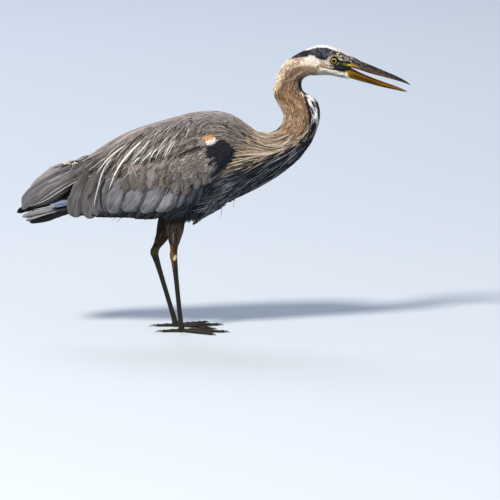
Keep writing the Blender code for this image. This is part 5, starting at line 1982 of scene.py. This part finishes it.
# --- bill
def mandible(name, table, tip, upper, node, slot_name):
    """Half of the bill: a finely lofted roof over a nearly flat floor, or the same upside down."""
    line = np.array(table, float)
    first = line[0] + 0.55 * (line[0] - line[1])
    first[4] = line[0, 4] * 0.86
    line = np.concatenate([first[None], line])
    count, sides = 84, 44
    marks = (np.linspace(0, 1, count) ** 0.92) * (len(line) - 1)
    made = along(line, marks)
    angle = 2 * np.pi * np.arange(sides) / sides
    c, s = np.cos(angle), np.sin(angle)
    height = np.where(s > 0, np.abs(s) ** 0.85, 0.07 * s)
    ridge, edge = made[:, :2], made[:, 2:4]
    if not upper:
        ridge, edge = edge, ridge
    length = marks / (len(line) - 1)
    flat = edge[:, None] + (ridge - edge)[:, None] * height[None, :, None]
    half = made[:, 4, None] * c[None]
    h, t = np.broadcast_to(height, (count, sides)), np.broadcast_to(length[:, None], (count, sides))
    if upper:
        # The groove that runs forward from each nostril, the nostril slit, and a raised ridge.
        groove = np.exp(-(((h - 0.60 + 0.08 * t) / 0.07) ** 2))
        groove *= smooth(t, 0.16, 0.2) * (1 - smooth(t, 0.6, 0.8))
        slit = np.exp(-(((h - 0.585) / 0.05) ** 2)) * smooth(t, 0.20, 0.215) * (1 - smooth(t, 0.27, 0.29))
        inward = 0.55 * groove + 1.3 * slit
    else:
        groove = np.exp(-(((h - 0.45) / 0.09) ** 2)) * smooth(t, 0.2, 0.3) * (1 - smooth(t, 0.7, 0.85))
        inward = 0.35 * groove
    lip = np.exp(-((h / 0.10) ** 2)) * (s > -0.2) * (1 - smooth(t, 0.85, 1.0))
    half = half + np.sign(half) * (0.18 * lip - inward)
    points = np.stack([flat[..., 0], half, flat[..., 1]], -1).reshape(-1, 3)
    root_x, root_z = flat[0].mean(0)
    ends = [(root_x, 0, root_z), (tip[0], 0, tip[1])]
    points = turned(np.concatenate([points, ends]))
    # Markings of the horn.
    h, t = h.ravel(), t.ravel()
    rough = ripple(points[:-2], 7.0)
    colour = np.tile(linear("594a42" if upper else "6b4204"), (len(h), 1))
    lay = partial(over, colour)
    if upper:
        lay(smooth(h, 0.42, 0.62), "332d31")
        lay(smooth(h, 0.8, 0.95) * (1 - smooth(t, 0.6, 0.9)), "212127")
        lay((1 - smooth(h, 0.2, 0.42)) * smooth(t, 0.3, 0.4), "6e4c36")
        lay((1 - smooth(h, 0.2, 0.42)) * smooth(t, 0.45, 0.6), "84643f")
        lay((1 - smooth(h, 0.28, 0.46)) * (1 - smooth(t, 0.2, 0.34)), "b08a4a")
        # A dark cutting edge: painted shadow under the upper mandible's edge.
        lay(1 - smooth(h, 0.02, 0.12), "3a2415")
        lay(smooth(rough, 0.0, 0.7) * 0.4, "352d29")
        lay(smooth(-rough, 0.2, 0.8) * smooth(h, 0.4, 0.7) * 0.35, "77707a")
        spots = ripple(points[:-2], 2.4, 5.0)
        base = smooth(h, 0.42, 0.55) * (1 - smooth(t, 0.22, 0.42))
        lay(base * smooth(spots, 0.1, 0.4) * 0.8, "a3a1ad")
        lay(base * smooth(-spots, 0.05, 0.4), "17171b")
        corner = smooth(h, 0.1, 0.2) * (1 - smooth(h, 0.42, 0.5)) * (1 - smooth(t, 0.085, 0.13))
        lay(corner, "c9c34a")
        lay(slit.ravel(), "0b0908")
        lay(smooth(t, 0.75, 1.0) * 0.5, "3a3029")
        lay(smooth(-h, -0.02, 0.02), "4b2723")
    else:
        # h runs from the cutting edge, 0, down to the keel, 1.
        lay(smooth(h, 0.55, 0.8) * (1 - smooth(t, 0.3, 0.5)), "8f7a12")
        lay((1 - smooth(t, 0.1, 0.24)) * smooth(h, 0.1, 0.25), "a8960e")
        lay((1 - smooth(h, 0.22, 0.4)) * smooth(t, 0.08, 0.2), "a5804f")
        lay((1 - smooth(h, 0.45, 0.65)) * smooth(t, 0.42, 0.58), "dd8c22")
        lay(smooth(h, 0.85, 1.0) * smooth(t, 0.3, 0.5) * 0.7, "5b3a06")
        # A near-black cutting edge: painted shadow of the gap between the mandibles.
        lay(1 - smooth(h, 0.02, 0.1), "1f150b")
        lay(smooth(t, 0.75, 1.0) * 0.3, "80501f")
        lay(smooth(rough, 0.2, 0.9) * 0.3, "6d430c")
        lay(smooth(-h, -0.02, 0.02), "55291f")
    colour = colour * ((0.56, 0.56, 0.54) if upper else (0.52, 0.47, 0.12))
    colour = np.concatenate([colour, colour[:1], colour[-1:]])
    faces = tube_faces(count, sides)
    piece = mesh_piece(name, points, faces if upper else faces[:, ::-1], bill_horn, colour)
    edit(piece, bpy.ops.mesh.normals_make_consistent)
    coat_piece(piece, slot_name, node)


def chin_feathers():
    """Short feathers that run forward over the base of the bill, so that its edge is ragged."""
    starts, ends, names = [], [], []
    pale = ("f4ecdf", "e6dccb", "c3bcab")
    flecks = ("8e8587", "2b2a30", "b7b0b4", "3a383c", "9c9599", "2b2a30")
    for side in SIDES:
        tufts = [(300 + 0.25 * (603 - z), z, chance.uniform(5, 10), -2.4, pale[i % 3])
                 for i, z in enumerate(np.linspace(587.5, 603.5, 22))]
        tufts += [(306 + i * 1.4, 640 - 1.6 * i, 13.0, -5.0, tone) for i, tone in enumerate(flecks)]
        for x, z, dx, dz, tone in tufts:
            out = np.interp(z, [588, 594, 604, 616, 632, 642], [7.0, 10.5, 12.3, 12.4, 9.5, 3.5])
            starts.append((x, side * out, z))
            ends.append((x + dx, side * (out * 0.88 - 0.1), z + dz))
            names.append(tone)
    path = straight_lines(starts, ends, 7)
    up = np.sign(path) * (0, 1, 0)
    vanes("chin_feathers", "head_plumage", turned(path), up, 1.5, tones_of(names), silky, "tuft", 3,
          (-0.6, 0.5), 0.4)


chin_feathers()


def brow_specks():
    """The forehead's black and white flecks, one small feather each."""
    x, _, z = turned(form.middle, -1).T
    zone = in_shape(x, z, FOREHEAD, 3) * (bare_all < 0.5) * (1 - near_line(x, z, BROW_TOP, 6.5, 3))
    roots = form.scatter(2500, zone, 1.5)
    n = len(roots)
    colours = draw(n, (0.64, "121015"), (0.15, "6d6361"), (0.21, "eee4db"))
    strands("brow_specks", "head_plumage", roots, chance.uniform(3.6, 5.6, n), chance.uniform(0.7, 1.1, n),
            colours, 0.8, -0.4, rings=5, stray=0.2)


brow_specks()
mandible("upper_mandible", BILL_UPPER, BILL_UPPER_TIP, True, "bill_upper", "bill_upper_horn")
mandible("lower_mandible", BILL_LOWER, BILL_LOWER_TIP, False, "bill_lower", "bill_lower_horn")


# --- legs and claws
def leg_skin(side):
    word = SIDES[side]
    nodes = [f"shank_{word}", f"foot_{word}"]
    piece = merged_copy(f"leg_{word}", nodes, 0.3)
    apply(piece, "REMESH", mode="VOXEL", voxel_size=1.0 * MM, use_smooth_shade=True)
    apply(piece, "SMOOTH", factor=0.5, iterations=5)
    points, normals = points_of(piece), normals_of(piece)
    z = points[:, 2]
    # Cross plates down the front of the tarsus, about 3.4 mm each.
    front = smooth(normals[:, 0], 0.2, 0.8) * smooth(z, 14, 20) * (1 - smooth(z, 150, 165))
    wave = (z / 3.4) % 1.0
    points += normals * (front * 0.22 * (1 - np.abs(2 * wave - 1) ** 3 * 2.0))[:, None]
    lumps = ripple(points, 4.0) * 0.12 + ripple(points, 1.6, 2.0) * 0.06
    points += normals * (lumps * smooth(z, 2.0, 5.0))[:, None]
    points[:, 2] = np.maximum(points[:, 2], 0.0)
    move_points(piece, points)
    x, _, z = points.T
    colour = np.tile(linear("1f1f16"), (len(z), 1))
    lay = partial(over, colour)
    mottled = ripple(points, 9.0)
    lay(smooth(z, 176, 190), "2c1c10")
    lay(smooth(z, 160, 172) * (1 - smooth(z, 180, 190)) * (0.6 + 0.4 * mottled), "55492a")
    # On the near leg the tibia's own orange-brown shows only as a strip on the side where the light falls, so
    # it is partly painted light; the glint is a painted highlight on the front of the ankle.
    if side < 0:
        stripe = near_line(x, z, places("-95,215 -97,190 -96,170 -96,148"), 6.5, 5)
        lay(smooth(z, 136, 150) * stripe * (0.6 + 0.35 * mottled), "7a4a24")
        glint = near_line(x, z, places("-88,177 -90.5,171"), 5.5, 3.5)
        lay(glint * (normals[:, 1] < 0.4), "e6dfae")
    lay((1 - smooth(z, 10, 30)) * 0.6, "25231d")
    lay(smooth(mottled, 0, 0.9) * 0.3, "322f24")
    lay(smooth(-normals[:, 2], 0.5, 0.9) * (z < 4), "8a7a4a")
    dress(piece, colour, scaled_leg, "leg_skin", nodes)
    nodes = [f"claw_{toe}_{word}" for toe in ("hind", "inner", "middle", "outer")]
    claws = merged_copy(f"claws_{word}", nodes, 0.12)
    apply(claws, "SUBSURF", levels=2, render_levels=2)
    points = points_of(claws)
    points[:, 2] = np.maximum(points[:, 2], 0.0)
    move_points(claws, points)
    dress(claws, linear("2b2623") * (1 + 0.25 * ripple(points, 3.0))[:, None], claw_horn, "claw_horn", nodes)


for side in SIDES:
    leg_skin(side)


# --- floor, light and camera
def stage():
    bpy.ops.mesh.primitive_plane_add(size=60.0, location=(0, 0, 0))
    floor = bpy.context.view_layer.objects.active
    floor.name = "floor"
    material, shader, _ = new_material("pale_studio_floor", 0.5, Roughness=0.85)
    shader.inputs["Base Color"].default_value = (*linear("b9c2cc"), 1.0)
    floor.data.materials.append(material)
    world = bpy.data.worlds.new("studio_air")
    world.use_nodes = True
    world.node_tree.nodes["Background"].inputs["Color"].default_value = (*linear("cfdcec"), 1.0)
    world.node_tree.nodes["Background"].inputs["Strength"].default_value = 0.5
    bpy.context.scene.world = world
    aim = Vector((0.0, 0.0, 0.36))
    for name, place, size, watts, colour in (
        ("key_softbox", (-5.2, -6.4, 9.2), 2.4, 2150.0, "fff5e8"),
        ("fill_softbox", (6.5, -6.5, 2.2), 4.0, 290.0, "e6efff"),
        ("rim_softbox", (-2.0, 6.5, 5.6), 4.0, 260.0, "eef3ff"),
    ):
        data = bpy.data.lights.new(name, "AREA")
        data.shape, data.size, data.energy = "DISK", size, watts
        data.color = linear(colour)
        lamp = bpy.data.objects.new(name, data)
        bpy.context.scene.collection.objects.link(lamp)
        lamp.location = place
        lamp.rotation_euler = (aim - Vector(place)).to_track_quat("-Z", "Y").to_euler()


def camera():
    """A long lens, nine degrees above level, square to the bird's right side."""
    data = bpy.data.cameras.new("camera")
    data.lens, data.sensor_width, data.clip_end = 600.0, 36.0, 100.0
    distance, tilt = 600.0 / 36.0 * 1.15, math.radians(9.0)
    view = bpy.data.objects.new("camera", data)
    bpy.context.scene.collection.objects.link(view)
    aim = Vector((0.083, 0.0, 0.185))
    view.location = aim + Vector((0.0, -math.cos(tilt), math.sin(tilt))) * distance
    view.rotation_euler = (aim - view.location).to_track_quat("-Z", "Y").to_euler()
    bpy.context.scene.camera = view


stage()
camera()
bpy.context.scene.view_settings.view_transform = "Standard"
bpy.data.objects.remove(form.piece, do_unlink=True)
